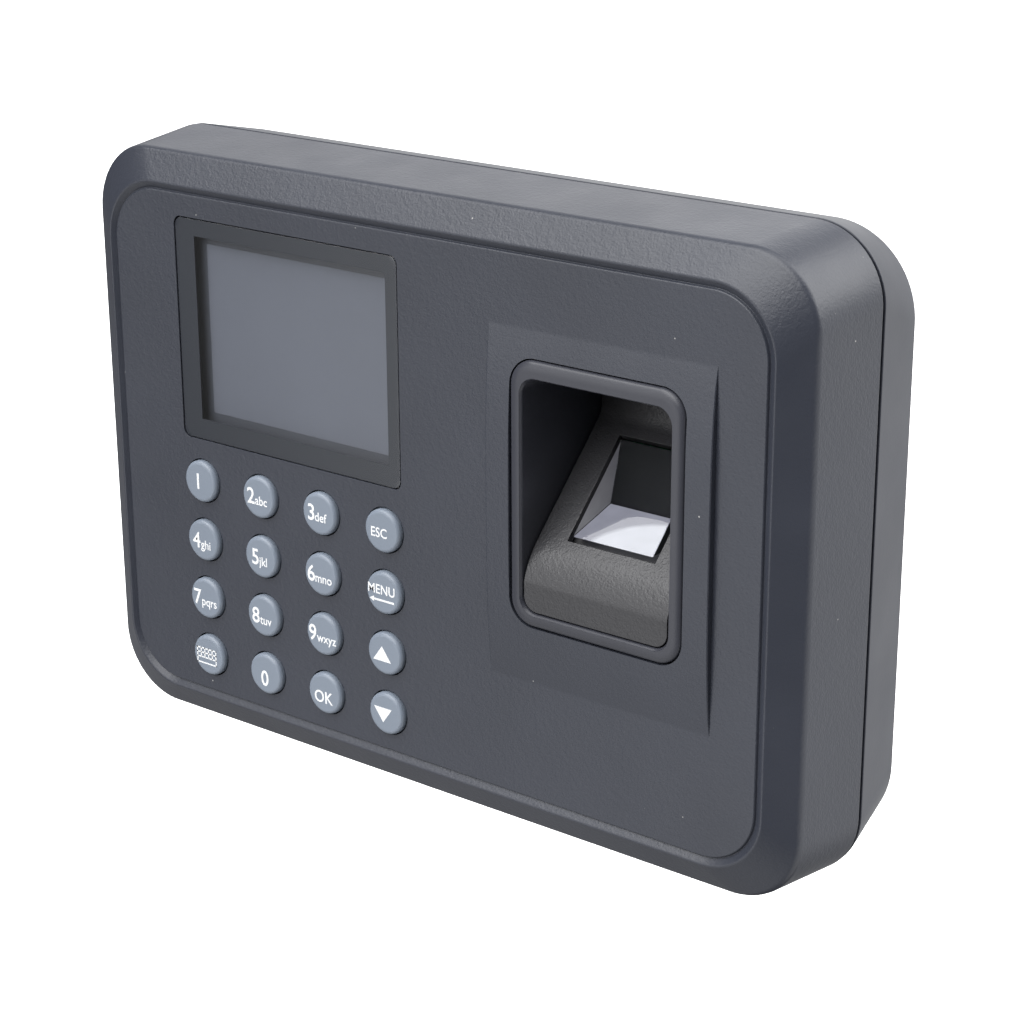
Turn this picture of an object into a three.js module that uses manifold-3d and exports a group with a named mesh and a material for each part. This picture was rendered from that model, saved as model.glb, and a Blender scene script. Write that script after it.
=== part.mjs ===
// Fingerprint scanner terminal: a wall-hung case with a colour display, sixteen keys
// and an optical finger sensor.
// Millimetres. +X is to the user's right, +Z is up and the front faces -Y.
// The origin is the middle of the wall plate's rear face, where the terminal meets the wall.
import * as THREE from 'three';
import { mergeVertices } from 'three/addons/utils/BufferGeometryUtils.js';
import Module from 'manifold-3d';

const wasm = await Module();
wasm.setup();

// ---- Clearances shared by all fits ----
const FIT_GAP = 0.3;
const SEAM_GAP = 0.5;
const CUT_OVERRUN = 1;

// ---- Facets of round shapes ----
const LARGE_ROUND_SEGMENTS = 24;
const ROUND_SEGMENTS = 16;
const HOLE_SEGMENTS = 12;
const PIN_SEGMENTS = 8;
const CORNER_STEPS = 6;
const NOSE_STEPS = 6;
const FILLET_STEPS = 4;

// ---- Case ----
const CASE_WIDTH = 183.1;
const CASE_HEIGHT = 130.2;
const CASE_DEPTH = 37.5;
const SEAM_DEPTH = 14;
const WALL = 2.4;
const SIDE_DRAFT = 1.55;
const BEVEL_WIDTH = 6.35;
const BEVEL_DEPTH = 4.05;
const RIM_WIDTH = 1.75;
const PANEL_DROP = 0.42;
const GROOVE_DEPTH = 1;
const GROOVE_WIDTH = 0.3;
const CREST_RADIUS = 13.6;
const BEVEL_RADIUS = 15;
const SEAM_RADIUS = 14.6;
const REAR_RADIUS = 17.6;
const REAR_TAPER_SIDE = 1.1;
const REAR_TAPER_TOP = 2.8;
const REAR_CHAMFER = 1;
const LIP_WALL = 1.2;
const LIP_HEIGHT = 3.2;

// ---- Case screws ----
const CASE_SCREW_INSET = 13.3;
const CASE_BOSS_DIAMETER = 7;
const CASE_POST_DIAMETER = 8.6;
const CASE_BOSS_CLEAR = 3.5;
const CASE_SCREW_DIAMETER = 3;
const CASE_SCREW_LENGTH = 22;
const CASE_SCREW_HEAD_DIAMETER = 6;
const CASE_SCREW_HEAD_HEIGHT = 2.1;
const CASE_SCREW_SINK = 0.8;
const SCREW_HEAD_EDGE = 0.6;

// ---- Wall plate and its locking screw ----
const PLATE_WIDTH = 96;
const PLATE_TOP = 46;
const PLATE_THICKNESS = 1.2;
const PLATE_RADIUS = 4;
const PLATE_TAB_WIDTH = 12;
const PLATE_TAB_REACH = 9.3;
const PLATE_HOLE_DIAMETER = 4;
const PLATE_HOLE_SPACING = 60;
const HOOK_WIDTH = 10;
const HOOK_SPACING = 68;
const HOOK_DROP = 9;
const HOOK_REACH = 4.8;
const HOOK_LIP = 5;
const HOOK_ENTRY = 7;
const POCKET_FLOOR = 2.4;
const LOCK_SCREW_DIAMETER = 3;
const LOCK_SCREW_HEAD_DIAMETER = 5.6;
const LOCK_SCREW_HEAD_HEIGHT = 1.2;
const LOCK_SCREW_LENGTH = 6.5;
const LOCK_SCREW_SETBACK = 6.5;
const LOCK_BOSS_HEIGHT = 1.6;

// ---- Display ----
const LENS_WIDTH = 60.8;
const LENS_HEIGHT = 47.9;
const LENS_RADIUS = 1.8;
const LENS_THICKNESS = 1.2;
const LENS_SINK = 0.1;
const LENS_LEFT_MARGIN = 17.7;
const LENS_TOP_MARGIN = 4.8;
const LENS_LEDGE = 4.2;
const LCD_WIDTH = 60.3;
const LCD_HEIGHT = 42.7;
const LCD_GLASS_THICKNESS = 1;
const BACKLIGHT_THICKNESS = 1.6;
const LCD_FRAME_WALL = 0.6;

// ---- Keypad ----
const KEY_COLUMNS = 4;
const KEY_PITCH_X = 17.14;
const KEY_PITCH_Z = 13.45;
const KEY_DIAMETER = 9.3;
const KEY_PROUD = 1.15;
const KEY_EDGE = 0.45;
const KEY_HOLE_GAP = 0.4;
const KEY_FLANGE = 0.95;
const KEY_FLANGE_THICKNESS = 0.9;
const KEY_STEM_DIAMETER = 4;
const KEY_STEM_LENGTH = 0.9;
const KEY_TRAVEL = 0.7;
const KEY_LEFT_OFFSET = 5.05;
const KEY_TOP_OFFSET = 9.4;
const MAT_MARGIN = 6.3;
const MAT_THICKNESS = 1.2;
const DOME_DIAMETER = 7;
const DOME_HEIGHT = 1;

// ---- Boards ----
const BOARD_THICKNESS = 1.6;
const MAIN_BOARD_DEPTH = 20;
const MAIN_BOARD_SIDE_MARGIN = 9;
const MAIN_BOARD_TOP_MARGIN = 5;
const MAIN_BOARD_SENSOR_GAP = 4;
const STANDOFF_DIAMETER = 5.5;
const STANDOFF_INSET = 3;
const BOARD_SCREW_DIAMETER = 2.4;
const BOARD_SCREW_LENGTH = 8;
const BOARD_SCREW_HEAD_DIAMETER = 4.6;
const BOARD_SCREW_HEAD_HEIGHT = 1.5;
const CHIP_SIZE = 20;
const CHIP_THICKNESS = 1.6;
const CHIP_DROP = 8.4;
const MEMORY_WIDTH = 10;
const MEMORY_HEIGHT = 14;
const MEMORY_THICKNESS = 1.2;
const CELL_DIAMETER = 20;
const CELL_THICKNESS = 3.2;
const CELL_HOLDER_WALL = 1.7;
const CELL_HOLDER_FLOOR = 1.2;
const CELL_HOLDER_RIM = 2.4;
const PORT_BOARD_WIDTH = 76;
const PORT_BOARD_HEIGHT = 15;
const PORT_BOARD_THICKNESS = 1.2;

// ---- Ports in the lower wall ----
const PORT_SPACING = 56;
const PORT_SETBACK = 8.9;
const PORT_MOUTH_INSET = 0.2;
const USB_WIDTH = 14.4;
const USB_DEPTH = 6.9;
const USB_LENGTH = 14;
const USB_SHELL = 0.9;
const USB_CAVITY = 9;
const USB_TONGUE_WIDTH = 11;
const USB_TONGUE_DEPTH = 1.8;
const JACK_WIDTH = 9;
const JACK_DEPTH = 7.2;
const JACK_LENGTH = 12;
const JACK_BORE_DIAMETER = 5.5;
const JACK_BORE_DEPTH = 9;
const JACK_PIN_DIAMETER = 2;
const JACK_PIN_LENGTH = 7;

// ---- Speaker ----
const SPEAKER_DIAMETER = 28;
const SPEAKER_THICKNESS = 5.2;
const SPEAKER_SIDE_MARGIN = 22;
const SPEAKER_HEIGHT_OFFSET = 15;
const GRILLE_SLOTS = 5;
const GRILLE_SLOT_WIDTH = 2;
const GRILLE_SLOT_HEIGHT = 18;
const GRILLE_PITCH = 4;

// ---- Finger sensor ----
const SENSOR_RIGHT_MARGIN = 36.3;
const SENSOR_TOP_MARGIN = 46.85;
const FIELD_WIDTH = 52;
const FIELD_HEIGHT = 72.6;
const FIELD_DROP = 3;
const FIELD_CROWN = 1.55;
const FIELD_ROUNDNESS = 3.5;
const FIELD_STEPS = 14;
const WELL_WIDTH = 34.3;
const WELL_HEIGHT = 47.3;
const WELL_RADIUS = 3.3;
const WELL_DEPTH = 25.9;
const BEZEL_WIDTH = 2.85;
const BEZEL_TOP_EXTRA = 0.8;
const BEZEL_PROUD = 0.2;
const BEZEL_EDGE = 0.5;
const BEZEL_RADIUS_TRIM = 0.8;
const BEZEL_FLANGE = 2;
const BEZEL_FLANGE_THICKNESS = 1.5;
const WELL_WALL = 1.8;
const RAMP_ANGLE = Math.PI / 4;
const RAMP_WALL = 1.8;
const RAMP_CORNER_HEIGHT = 8.7;
const NOSE_RADIUS = 16;
const FILLET_RADIUS = 5;
const PRISM_WIDTH = 18.7;
const PRISM_FACE = 22.3;
const PRISM_START = 9.2;
const PRISM_PROUD = 0.25;
const PRISM_GAP = 0.95;
const CRADLE_WALL = 1.5;
const CAMERA_DIAMETER = 8;
const CAMERA_WINDOW = 9.4;
const DIFFUSER_THICKNESS = 1.2;
const LED_BOARD_THICKNESS = 1.2;
const LED_DROP = 1.6;
const LED_SIZE = 3.4;
const LED_THICKNESS = 1.8;
const LED_SPACING = 8;

// ---- Flat cables ----
const RIBBON_THICKNESS = 0.3;
const RIBBON_OFFSET = 0.5;
const DISPLAY_RIBBON_WIDTH = 20;
const KEYPAD_RIBBON_WIDTH = 10;
const KEYPAD_RIBBON_OFFSET = 20;
const SENSOR_RIBBON_WIDTH = 12;
const RIBBON_TAIL = 8;
const RIBBON_STEPS = 6;

// ---- Places worked out from the dimensions ----
const halfWidth = CASE_WIDTH / 2;
const halfHeight = CASE_HEIGHT / 2;
const crestY = -CASE_DEPTH;
const panelY = crestY + PANEL_DROP;
const bevelY = crestY + BEVEL_DEPTH;
const innerY = panelY + WALL;
const frontEdgeY = -SEAM_DEPTH - SEAM_GAP / 2;
const rearEdgeY = -SEAM_DEPTH + SEAM_GAP / 2;
const frontHalfWidth = halfWidth - SIDE_DRAFT;
const frontHalfHeight = halfHeight - SIDE_DRAFT;
const crestHalfWidth = frontHalfWidth - BEVEL_WIDTH;
const crestHalfHeight = frontHalfHeight - BEVEL_WIDTH;
const panelHalfWidth = crestHalfWidth - RIM_WIDTH;
const panelHalfHeight = crestHalfHeight - RIM_WIDTH;
const pocketY = -PLATE_THICKNESS - FIT_GAP;
const pocketFloorY = pocketY - POCKET_FLOOR;

const lensX = -panelHalfWidth + LENS_LEFT_MARGIN + LENS_WIDTH / 2;
const lensZ = panelHalfHeight - LENS_TOP_MARGIN - LENS_HEIGHT / 2;
const lcdFrontY = innerY + FIT_GAP;
const lcdGlassY = lcdFrontY + LENS_SINK;
const backlightY = lcdGlassY + LCD_GLASS_THICKNESS + FIT_GAP;
const lcdTrayY = backlightY + BACKLIGHT_THICKNESS + FIT_GAP;
const lcdRearY = lcdTrayY + LCD_FRAME_WALL;

const keyNames = [
  'key_1', 'key_2', 'key_3', 'key_escape',
  'key_4', 'key_5', 'key_6', 'key_menu',
  'key_7', 'key_8', 'key_9', 'key_up',
  'key_input', 'key_0', 'key_ok', 'key_down',
];
const keyRows = keyNames.length / KEY_COLUMNS;
const firstKeyX = lensX - LENS_WIDTH / 2 + KEY_LEFT_OFFSET;
const firstKeyZ = lensZ - LENS_HEIGHT / 2 - KEY_TOP_OFFSET;
const keypadX = firstKeyX + (KEY_COLUMNS - 1) * KEY_PITCH_X / 2;
const keypadZ = firstKeyZ - (keyRows - 1) * KEY_PITCH_Z / 2;
const keyFlangeY = innerY + FIT_GAP;
const keyStemEndY = keyFlangeY + KEY_FLANGE_THICKNESS + KEY_STEM_LENGTH;
const domeY = keyStemEndY + KEY_TRAVEL + FIT_GAP;
const matY = domeY + DOME_HEIGHT;
const keypadBoardY = matY + MAT_THICKNESS + FIT_GAP;
const keypadBoardRearY = keypadBoardY + BOARD_THICKNESS;
const matWidth = (KEY_COLUMNS - 1) * KEY_PITCH_X + 2 * MAT_MARGIN;
const matHeight = (keyRows - 1) * KEY_PITCH_Z + 2 * MAT_MARGIN;

const sensorX = panelHalfWidth - SENSOR_RIGHT_MARGIN;
const sensorZ = panelHalfHeight - SENSOR_TOP_MARGIN;
const bezelHalfWidth = WELL_WIDTH / 2 + BEZEL_WIDTH;
const bezelHalfHeight = WELL_HEIGHT / 2 + BEZEL_WIDTH + BEZEL_TOP_EXTRA / 2;
const bezelZ = sensorZ + BEZEL_TOP_EXTRA / 2;
const bezelRadius = WELL_RADIUS + BEZEL_WIDTH - BEZEL_RADIUS_TRIM;
const bezelY = panelY - FIELD_CROWN - BEZEL_PROUD;
const wellBackY = bezelY + WELL_DEPTH;
const wellEndY = wellBackY + RAMP_WALL;
const sensorBoardY = wellEndY + FIT_GAP;
const sensorBoardRearY = sensorBoardY + BOARD_THICKNESS;
const rampCornerZ = sensorZ - WELL_HEIGHT / 2 + RAMP_CORNER_HEIGHT;

const mainBoardRearY = -MAIN_BOARD_DEPTH + BOARD_THICKNESS;
const mainBoardLeft = -panelHalfWidth + MAIN_BOARD_SIDE_MARGIN;
const mainBoardRight = sensorX - bezelHalfWidth - BEZEL_FLANGE - MAIN_BOARD_SENSOR_GAP;
const mainBoardHalfHeight = panelHalfHeight - MAIN_BOARD_TOP_MARGIN;
const mainBoardX = (mainBoardLeft + mainBoardRight) / 2;
const componentY = mainBoardRearY + FIT_GAP;
const portBoardRearY = -PORT_SETBACK - USB_DEPTH / 2 - FIT_GAP;

const caseScrewPlaces = cornerPlaces(halfWidth - CASE_SCREW_INSET, halfHeight - CASE_SCREW_INSET);
const caseBossEndY = frontEdgeY - CASE_BOSS_CLEAR;
const boardScrewPlaces = cornerPlaces(
  (mainBoardRight - mainBoardLeft) / 2 - STANDOFF_INSET,
  mainBoardHalfHeight - STANDOFF_INSET,
  mainBoardX,
);

// ---- Shape helpers ----

function cornerPlaces(dx, dz, x = 0, z = 0) {
  return [[-1, 1], [1, 1], [1, -1], [-1, -1]].map(([sx, sz]) => ({ x: x + sx * dx, z: z + sz * dz }));
}

// A rounded rectangle around the Y axis, counter-clockwise as the user sees it.
function roundedRing(y, halfW, halfH, radius, x = 0, z = 0) {
  const points = [];
  const centres = [[1, 1], [-1, 1], [-1, -1], [1, -1]];
  centres.forEach(([sx, sz], corner) => {
    for (let step = 0; step <= CORNER_STEPS; step += 1) {
      const angle = (corner + step / CORNER_STEPS) * Math.PI / 2;
      const px = x + sx * (halfW - radius) + radius * Math.cos(angle);
      const pz = z + sz * (halfH - radius) + radius * Math.sin(angle);
      points.push(new THREE.Vector3(px, y, pz));
    }
  });
  return points;
}

// A closed skin through rings of equal length: the first and the last are capped.
function loft(rings) {
  const size = rings[0].length;
  const positions = rings.flat().flatMap((point) => point.toArray());
  const indices = [];
  for (let row = 0; row < rings.length - 1; row += 1) {
    for (let step = 0; step < size; step += 1) {
      const a = row * size + step;
      const b = row * size + (step + 1) % size;
      indices.push(a, a + size, b, b, a + size, b + size);
    }
  }
  const last = (rings.length - 1) * size;
  for (let step = 1; step < size - 1; step += 1) {
    indices.push(0, step, step + 1);
    indices.push(last, last + step + 1, last + step);
  }
  const geometry = new THREE.BufferGeometry();
  geometry.setAttribute('position', new THREE.Float32BufferAttribute(positions, 3));
  geometry.setIndex(indices);
  return geometry;
}

function roundedPrism(y0, y1, width, height, radius, x = 0, z = 0) {
  return loft([
    roundedRing(y0, width / 2, height / 2, radius, x, z),
    roundedRing(y1, width / 2, height / 2, radius, x, z),
  ]);
}

function block(x0, x1, y0, y1, z0, z1) {
  const geometry = new THREE.BoxGeometry(x1 - x0, y1 - y0, z1 - z0);
  return geometry.translate((x0 + x1) / 2, (y0 + y1) / 2, (z0 + z1) / 2);
}

function blockAt(x, z, width, height, y0, y1) {
  return block(x - width / 2, x + width / 2, y0, y1, z - height / 2, z + height / 2);
}

function drum(diameter, y0, y1, x = 0, z = 0, segments = ROUND_SEGMENTS) {
  const geometry = new THREE.CylinderGeometry(diameter / 2, diameter / 2, y1 - y0, segments);
  return geometry.translate(x, (y0 + y1) / 2, z);
}

function uprightDrum(diameter, z0, z1, x, y, segments = ROUND_SEGMENTS) {
  const geometry = new THREE.CylinderGeometry(diameter / 2, diameter / 2, z1 - z0, segments);
  return geometry.rotateX(Math.PI / 2).translate(x, y, (z0 + z1) / 2);
}

function turned(profile, segments) {
  return new THREE.LatheGeometry(profile.map(([radius, y]) => new THREE.Vector2(radius, y)), segments);
}

// An outline drawn in Y and Z, drawn out along X.
function sideProfile(points, x0, x1) {
  const shape = new THREE.Shape(points.map(([y, z]) => new THREE.Vector2(y, z)));
  const geometry = new THREE.ExtrudeGeometry(shape, { depth: x1 - x0, bevelEnabled: false });
  const axes = [new THREE.Vector3(0, 1, 0), new THREE.Vector3(0, 0, 1), new THREE.Vector3(1, 0, 0)];
  return geometry.applyMatrix4(new THREE.Matrix4().makeBasis(...axes)).translate(x0, 0, 0);
}

// An outline drawn in X and Y, drawn out along Z.
function planProfile(points, z0, z1) {
  const shape = new THREE.Shape(points.map(([x, y]) => new THREE.Vector2(x, y)));
  const geometry = new THREE.ExtrudeGeometry(shape, { depth: z1 - z0, bevelEnabled: false });
  return geometry.translate(0, 0, z0);
}

// The outline of a strip with one thickness: it lies to the right of the path of points.
function stripOutline(points, thickness) {
  const inner = points.map((point, index) => {
    const before = points[Math.max(index - 1, 0)];
    const after = points[Math.min(index + 1, points.length - 1)];
    const tangent = new THREE.Vector2(after[0] - before[0], after[1] - before[1]).normalize();
    return [point[0] + tangent.y * thickness, point[1] - tangent.x * thickness];
  });
  return [...points, ...inner.reverse()];
}

function arcPoints(centreU, centreV, radius, fromAngle, toAngle, steps) {
  return Array.from({ length: steps + 1 }, (_, step) => {
    const angle = fromAngle + (toAngle - fromAngle) * step / steps;
    return [centreU + radius * Math.cos(angle), centreV + radius * Math.sin(angle)];
  });
}

function solid(geometry) {
  const bare = geometry.clone();
  bare.deleteAttribute('normal');
  bare.deleteAttribute('uv');
  const merged = mergeVertices(bare, 1e-4);
  return new wasm.Manifold(new wasm.Mesh({
    numProp: 3,
    vertProperties: new Float32Array(merged.attributes.position.array),
    triVerts: new Uint32Array(merged.index.array),
  }));
}

// The base with what is added, less what is removed, trimmed to every limit.
function shaped(base, added, removed, limits = []) {
  let body = solid(base);
  added.forEach((geometry) => { body = body.add(solid(geometry)); });
  removed.forEach((geometry) => { body = body.subtract(solid(geometry)); });
  limits.forEach((geometry) => { body = body.intersect(solid(geometry)); });
  const { vertProperties, triVerts } = body.getMesh();
  const geometry = new THREE.BufferGeometry();
  geometry.setAttribute('position', new THREE.Float32BufferAttribute(vertProperties, 3));
  geometry.setIndex(Array.from(triVerts));
  return geometry;
}

// ---- Finishes ----

const FINISHES = {
  casePlastic: { color: 0x54565d, roughness: 0.55, metalness: 0 },
  keyPlastic: { color: 0x878e9b, roughness: 0.45, metalness: 0 },
  lensGlass: { color: 0x484a52, roughness: 0.08, metalness: 0 },
  lcdGlass: { color: 0x7d8086, roughness: 0.3, metalness: 0 },
  whitePlastic: { color: 0xe6e6ea, roughness: 0.5, metalness: 0 },
  sensorPlastic: { color: 0x3a3b40, roughness: 0.6, metalness: 0 },
  prismGlass: { color: 0xc8ccd6, roughness: 0.03, metalness: 0 },
  silicone: { color: 0x6f747c, roughness: 0.7, metalness: 0 },
  boardGreen: { color: 0x1f5a38, roughness: 0.45, metalness: 0 },
  chipBlack: { color: 0x1a1a1c, roughness: 0.6, metalness: 0 },
  steel: { color: 0xb4b6b9, roughness: 0.35, metalness: 1 },
  nickel: { color: 0xc9c8c2, roughness: 0.25, metalness: 1 },
  cableFilm: { color: 0xb5713a, roughness: 0.5, metalness: 0 },
};

const terminal = new THREE.Group();

function place(name, geometry, finish, x = 0, z = 0, y = 0) {
  const mesh = new THREE.Mesh(geometry, new THREE.MeshStandardMaterial(FINISHES[finish]));
  mesh.name = name;
  mesh.position.set(x, y, z);
  terminal.add(mesh);
}

// ---- Case ----

function fingerField() {
  const halfChord = FIELD_HEIGHT / 2;
  const crown = Array.from({ length: FIELD_STEPS + 1 }, (_, step) => {
    const along = 1 - 2 * step / FIELD_STEPS;
    const rise = FIELD_CROWN * (1 - Math.abs(along) ** FIELD_ROUNDNESS);
    return [panelY - rise, sensorZ - FIELD_DROP + along * halfChord];
  });
  const buried = [[innerY - CUT_OVERRUN, crown.at(-1)[1]], [innerY - CUT_OVERRUN, crown[0][1]]];
  return sideProfile([...crown, ...buried], sensorX - FIELD_WIDTH / 2, sensorX + FIELD_WIDTH / 2);
}

function keyPlaces() {
  return keyNames.map((name, index) => ({
    name,
    x: firstKeyX + (index % KEY_COLUMNS) * KEY_PITCH_X,
    z: firstKeyZ - Math.floor(index / KEY_COLUMNS) * KEY_PITCH_Z,
  }));
}

function bezelSeat(y0, y1) {
  const width = 2 * (bezelHalfWidth + FIT_GAP);
  const height = 2 * (bezelHalfHeight + FIT_GAP);
  return roundedPrism(y0, y1, width, height, bezelRadius + FIT_GAP, sensorX, bezelZ);
}

function frontShell() {
  const skin = loft([
    roundedRing(panelY, panelHalfWidth, panelHalfHeight, CREST_RADIUS - RIM_WIDTH),
    roundedRing(crestY + GROOVE_DEPTH, panelHalfWidth + GROOVE_WIDTH, panelHalfHeight + GROOVE_WIDTH,
      CREST_RADIUS - RIM_WIDTH + GROOVE_WIDTH),
    roundedRing(crestY, crestHalfWidth, crestHalfHeight, CREST_RADIUS),
    roundedRing(bevelY, frontHalfWidth, frontHalfHeight, BEVEL_RADIUS),
    roundedRing(frontEdgeY, halfWidth, halfHeight, SEAM_RADIUS),
    roundedRing(frontEdgeY, halfWidth - WALL, halfHeight - WALL, SEAM_RADIUS - WALL),
    roundedRing(bevelY + WALL / 2, frontHalfWidth - WALL, frontHalfHeight - WALL, BEVEL_RADIUS - WALL),
    roundedRing(innerY, panelHalfWidth, panelHalfHeight, CREST_RADIUS - RIM_WIDTH),
  ]);
  const bosses = caseScrewPlaces.map(
    ({ x, z }) => drum(CASE_BOSS_DIAMETER, innerY - CUT_OVERRUN, caseBossEndY, x, z),
  );
  const standoffEndY = -MAIN_BOARD_DEPTH - FIT_GAP;
  const standoffs = boardScrewPlaces.map(
    ({ x, z }) => drum(STANDOFF_DIAMETER, innerY - CUT_OVERRUN, standoffEndY, x, z, HOLE_SEGMENTS),
  );
  const screwReach = CASE_SCREW_LENGTH + CASE_SCREW_SINK + CASE_SCREW_HEAD_HEIGHT + CUT_OVERRUN;
  const caseScrewHoles = caseScrewPlaces.map(({ x, z }) => drum(CASE_SCREW_DIAMETER + 2 * FIT_GAP,
    -screwReach, caseBossEndY + CUT_OVERRUN, x, z, HOLE_SEGMENTS));
  const boardScrewHoles = boardScrewPlaces.map(({ x, z }) => drum(BOARD_SCREW_DIAMETER + 2 * FIT_GAP,
    componentY - BOARD_SCREW_LENGTH - CUT_OVERRUN, standoffEndY + CUT_OVERRUN, x, z, HOLE_SEGMENTS));
  const lensSeatY = panelY + LENS_SINK + LENS_THICKNESS + FIT_GAP;
  const lensSeat = roundedPrism(panelY - CUT_OVERRUN, lensSeatY,
    LENS_WIDTH + 2 * FIT_GAP, LENS_HEIGHT + 2 * FIT_GAP, LENS_RADIUS + FIT_GAP, lensX, lensZ);
  const window = blockAt(lensX, lensZ, LENS_WIDTH - 2 * LENS_LEDGE, LENS_HEIGHT - 2 * LENS_LEDGE,
    panelY, innerY + CUT_OVERRUN);
  const keyHoles = keyPlaces().map(({ x, z }) => drum(KEY_DIAMETER + 2 * KEY_HOLE_GAP,
    panelY - CUT_OVERRUN, innerY + CUT_OVERRUN, x, z, ROUND_SEGMENTS));
  const sensorSeat = bezelSeat(bezelY - CUT_OVERRUN, innerY + CUT_OVERRUN);
  return shaped(skin, [fingerField(), ...bosses, ...standoffs],
    [...caseScrewHoles, ...boardScrewHoles, lensSeat, window, ...keyHoles, sensorSeat]);
}

// The outer lower wall slopes: this is its height at a distance from the wall face.
function lowerWallZ(setback) {
  return -halfHeight + REAR_TAPER_TOP * (1 - setback / -rearEdgeY);
}

const lockHeadZ = lowerWallZ(LOCK_SCREW_SETBACK - LOCK_SCREW_HEAD_DIAMETER / 2) + PORT_MOUTH_INSET;
const lockSeatZ = lockHeadZ + LOCK_SCREW_HEAD_HEIGHT + FIT_GAP;
const lockBossTop = lockSeatZ + LOCK_BOSS_HEIGHT;
const plateBottom = lockBossTop + FIT_GAP;
const hookZ = PLATE_TOP - HOOK_DROP;

function coverSkin() {
  const lipDraft = SIDE_DRAFT * (LIP_HEIGHT + SEAM_GAP) / (frontEdgeY - bevelY);
  const lipHalfWidth = halfWidth - WALL - FIT_GAP - lipDraft;
  const lipHalfHeight = halfHeight - WALL - FIT_GAP - lipDraft;
  const lipRadius = SEAM_RADIUS - WALL - FIT_GAP;
  const insideWidth = lipHalfWidth - LIP_WALL;
  const insideHeight = lipHalfHeight - LIP_WALL;
  const insideRadius = lipRadius - LIP_WALL;
  const rearHalfWidth = halfWidth - REAR_TAPER_SIDE;
  const rearHalfHeight = halfHeight - REAR_TAPER_TOP;
  return loft([
    roundedRing(-WALL, rearHalfWidth - WALL, rearHalfHeight - WALL, REAR_RADIUS - WALL),
    roundedRing(rearEdgeY + WALL, lipHalfWidth, lipHalfHeight, lipRadius),
    roundedRing(rearEdgeY + LIP_WALL, insideWidth, insideHeight, insideRadius),
    roundedRing(rearEdgeY - LIP_HEIGHT, insideWidth, insideHeight, insideRadius),
    roundedRing(rearEdgeY - LIP_HEIGHT, lipHalfWidth, lipHalfHeight, lipRadius),
    roundedRing(rearEdgeY, lipHalfWidth, lipHalfHeight, lipRadius),
    roundedRing(rearEdgeY, halfWidth, halfHeight, SEAM_RADIUS),
    roundedRing(-REAR_CHAMFER, rearHalfWidth, rearHalfHeight, REAR_RADIUS),
    roundedRing(0, rearHalfWidth - REAR_CHAMFER, rearHalfHeight - REAR_CHAMFER, REAR_RADIUS - REAR_CHAMFER),
  ]);
}

function grilleSlots(x, z) {
  return Array.from({ length: GRILLE_SLOTS }, (_, index) => {
    const slotX = x + (index - (GRILLE_SLOTS - 1) / 2) * GRILLE_PITCH;
    return blockAt(slotX, z, GRILLE_SLOT_WIDTH, GRILLE_SLOT_HEIGHT, -WALL - CUT_OVERRUN, CUT_OVERRUN);
  });
}

const speakerX = -halfWidth + SPEAKER_SIDE_MARGIN;
const speakerZ = SPEAKER_HEIGHT_OFFSET;

function portWindow(x, width, depth) {
  return block(x - width / 2 - FIT_GAP, x + width / 2 + FIT_GAP,
    -PORT_SETBACK - depth / 2 - FIT_GAP, -PORT_SETBACK + depth / 2 + FIT_GAP,
    -halfHeight - CUT_OVERRUN, lowerWallZ(0) + WALL + CUT_OVERRUN);
}

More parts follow.
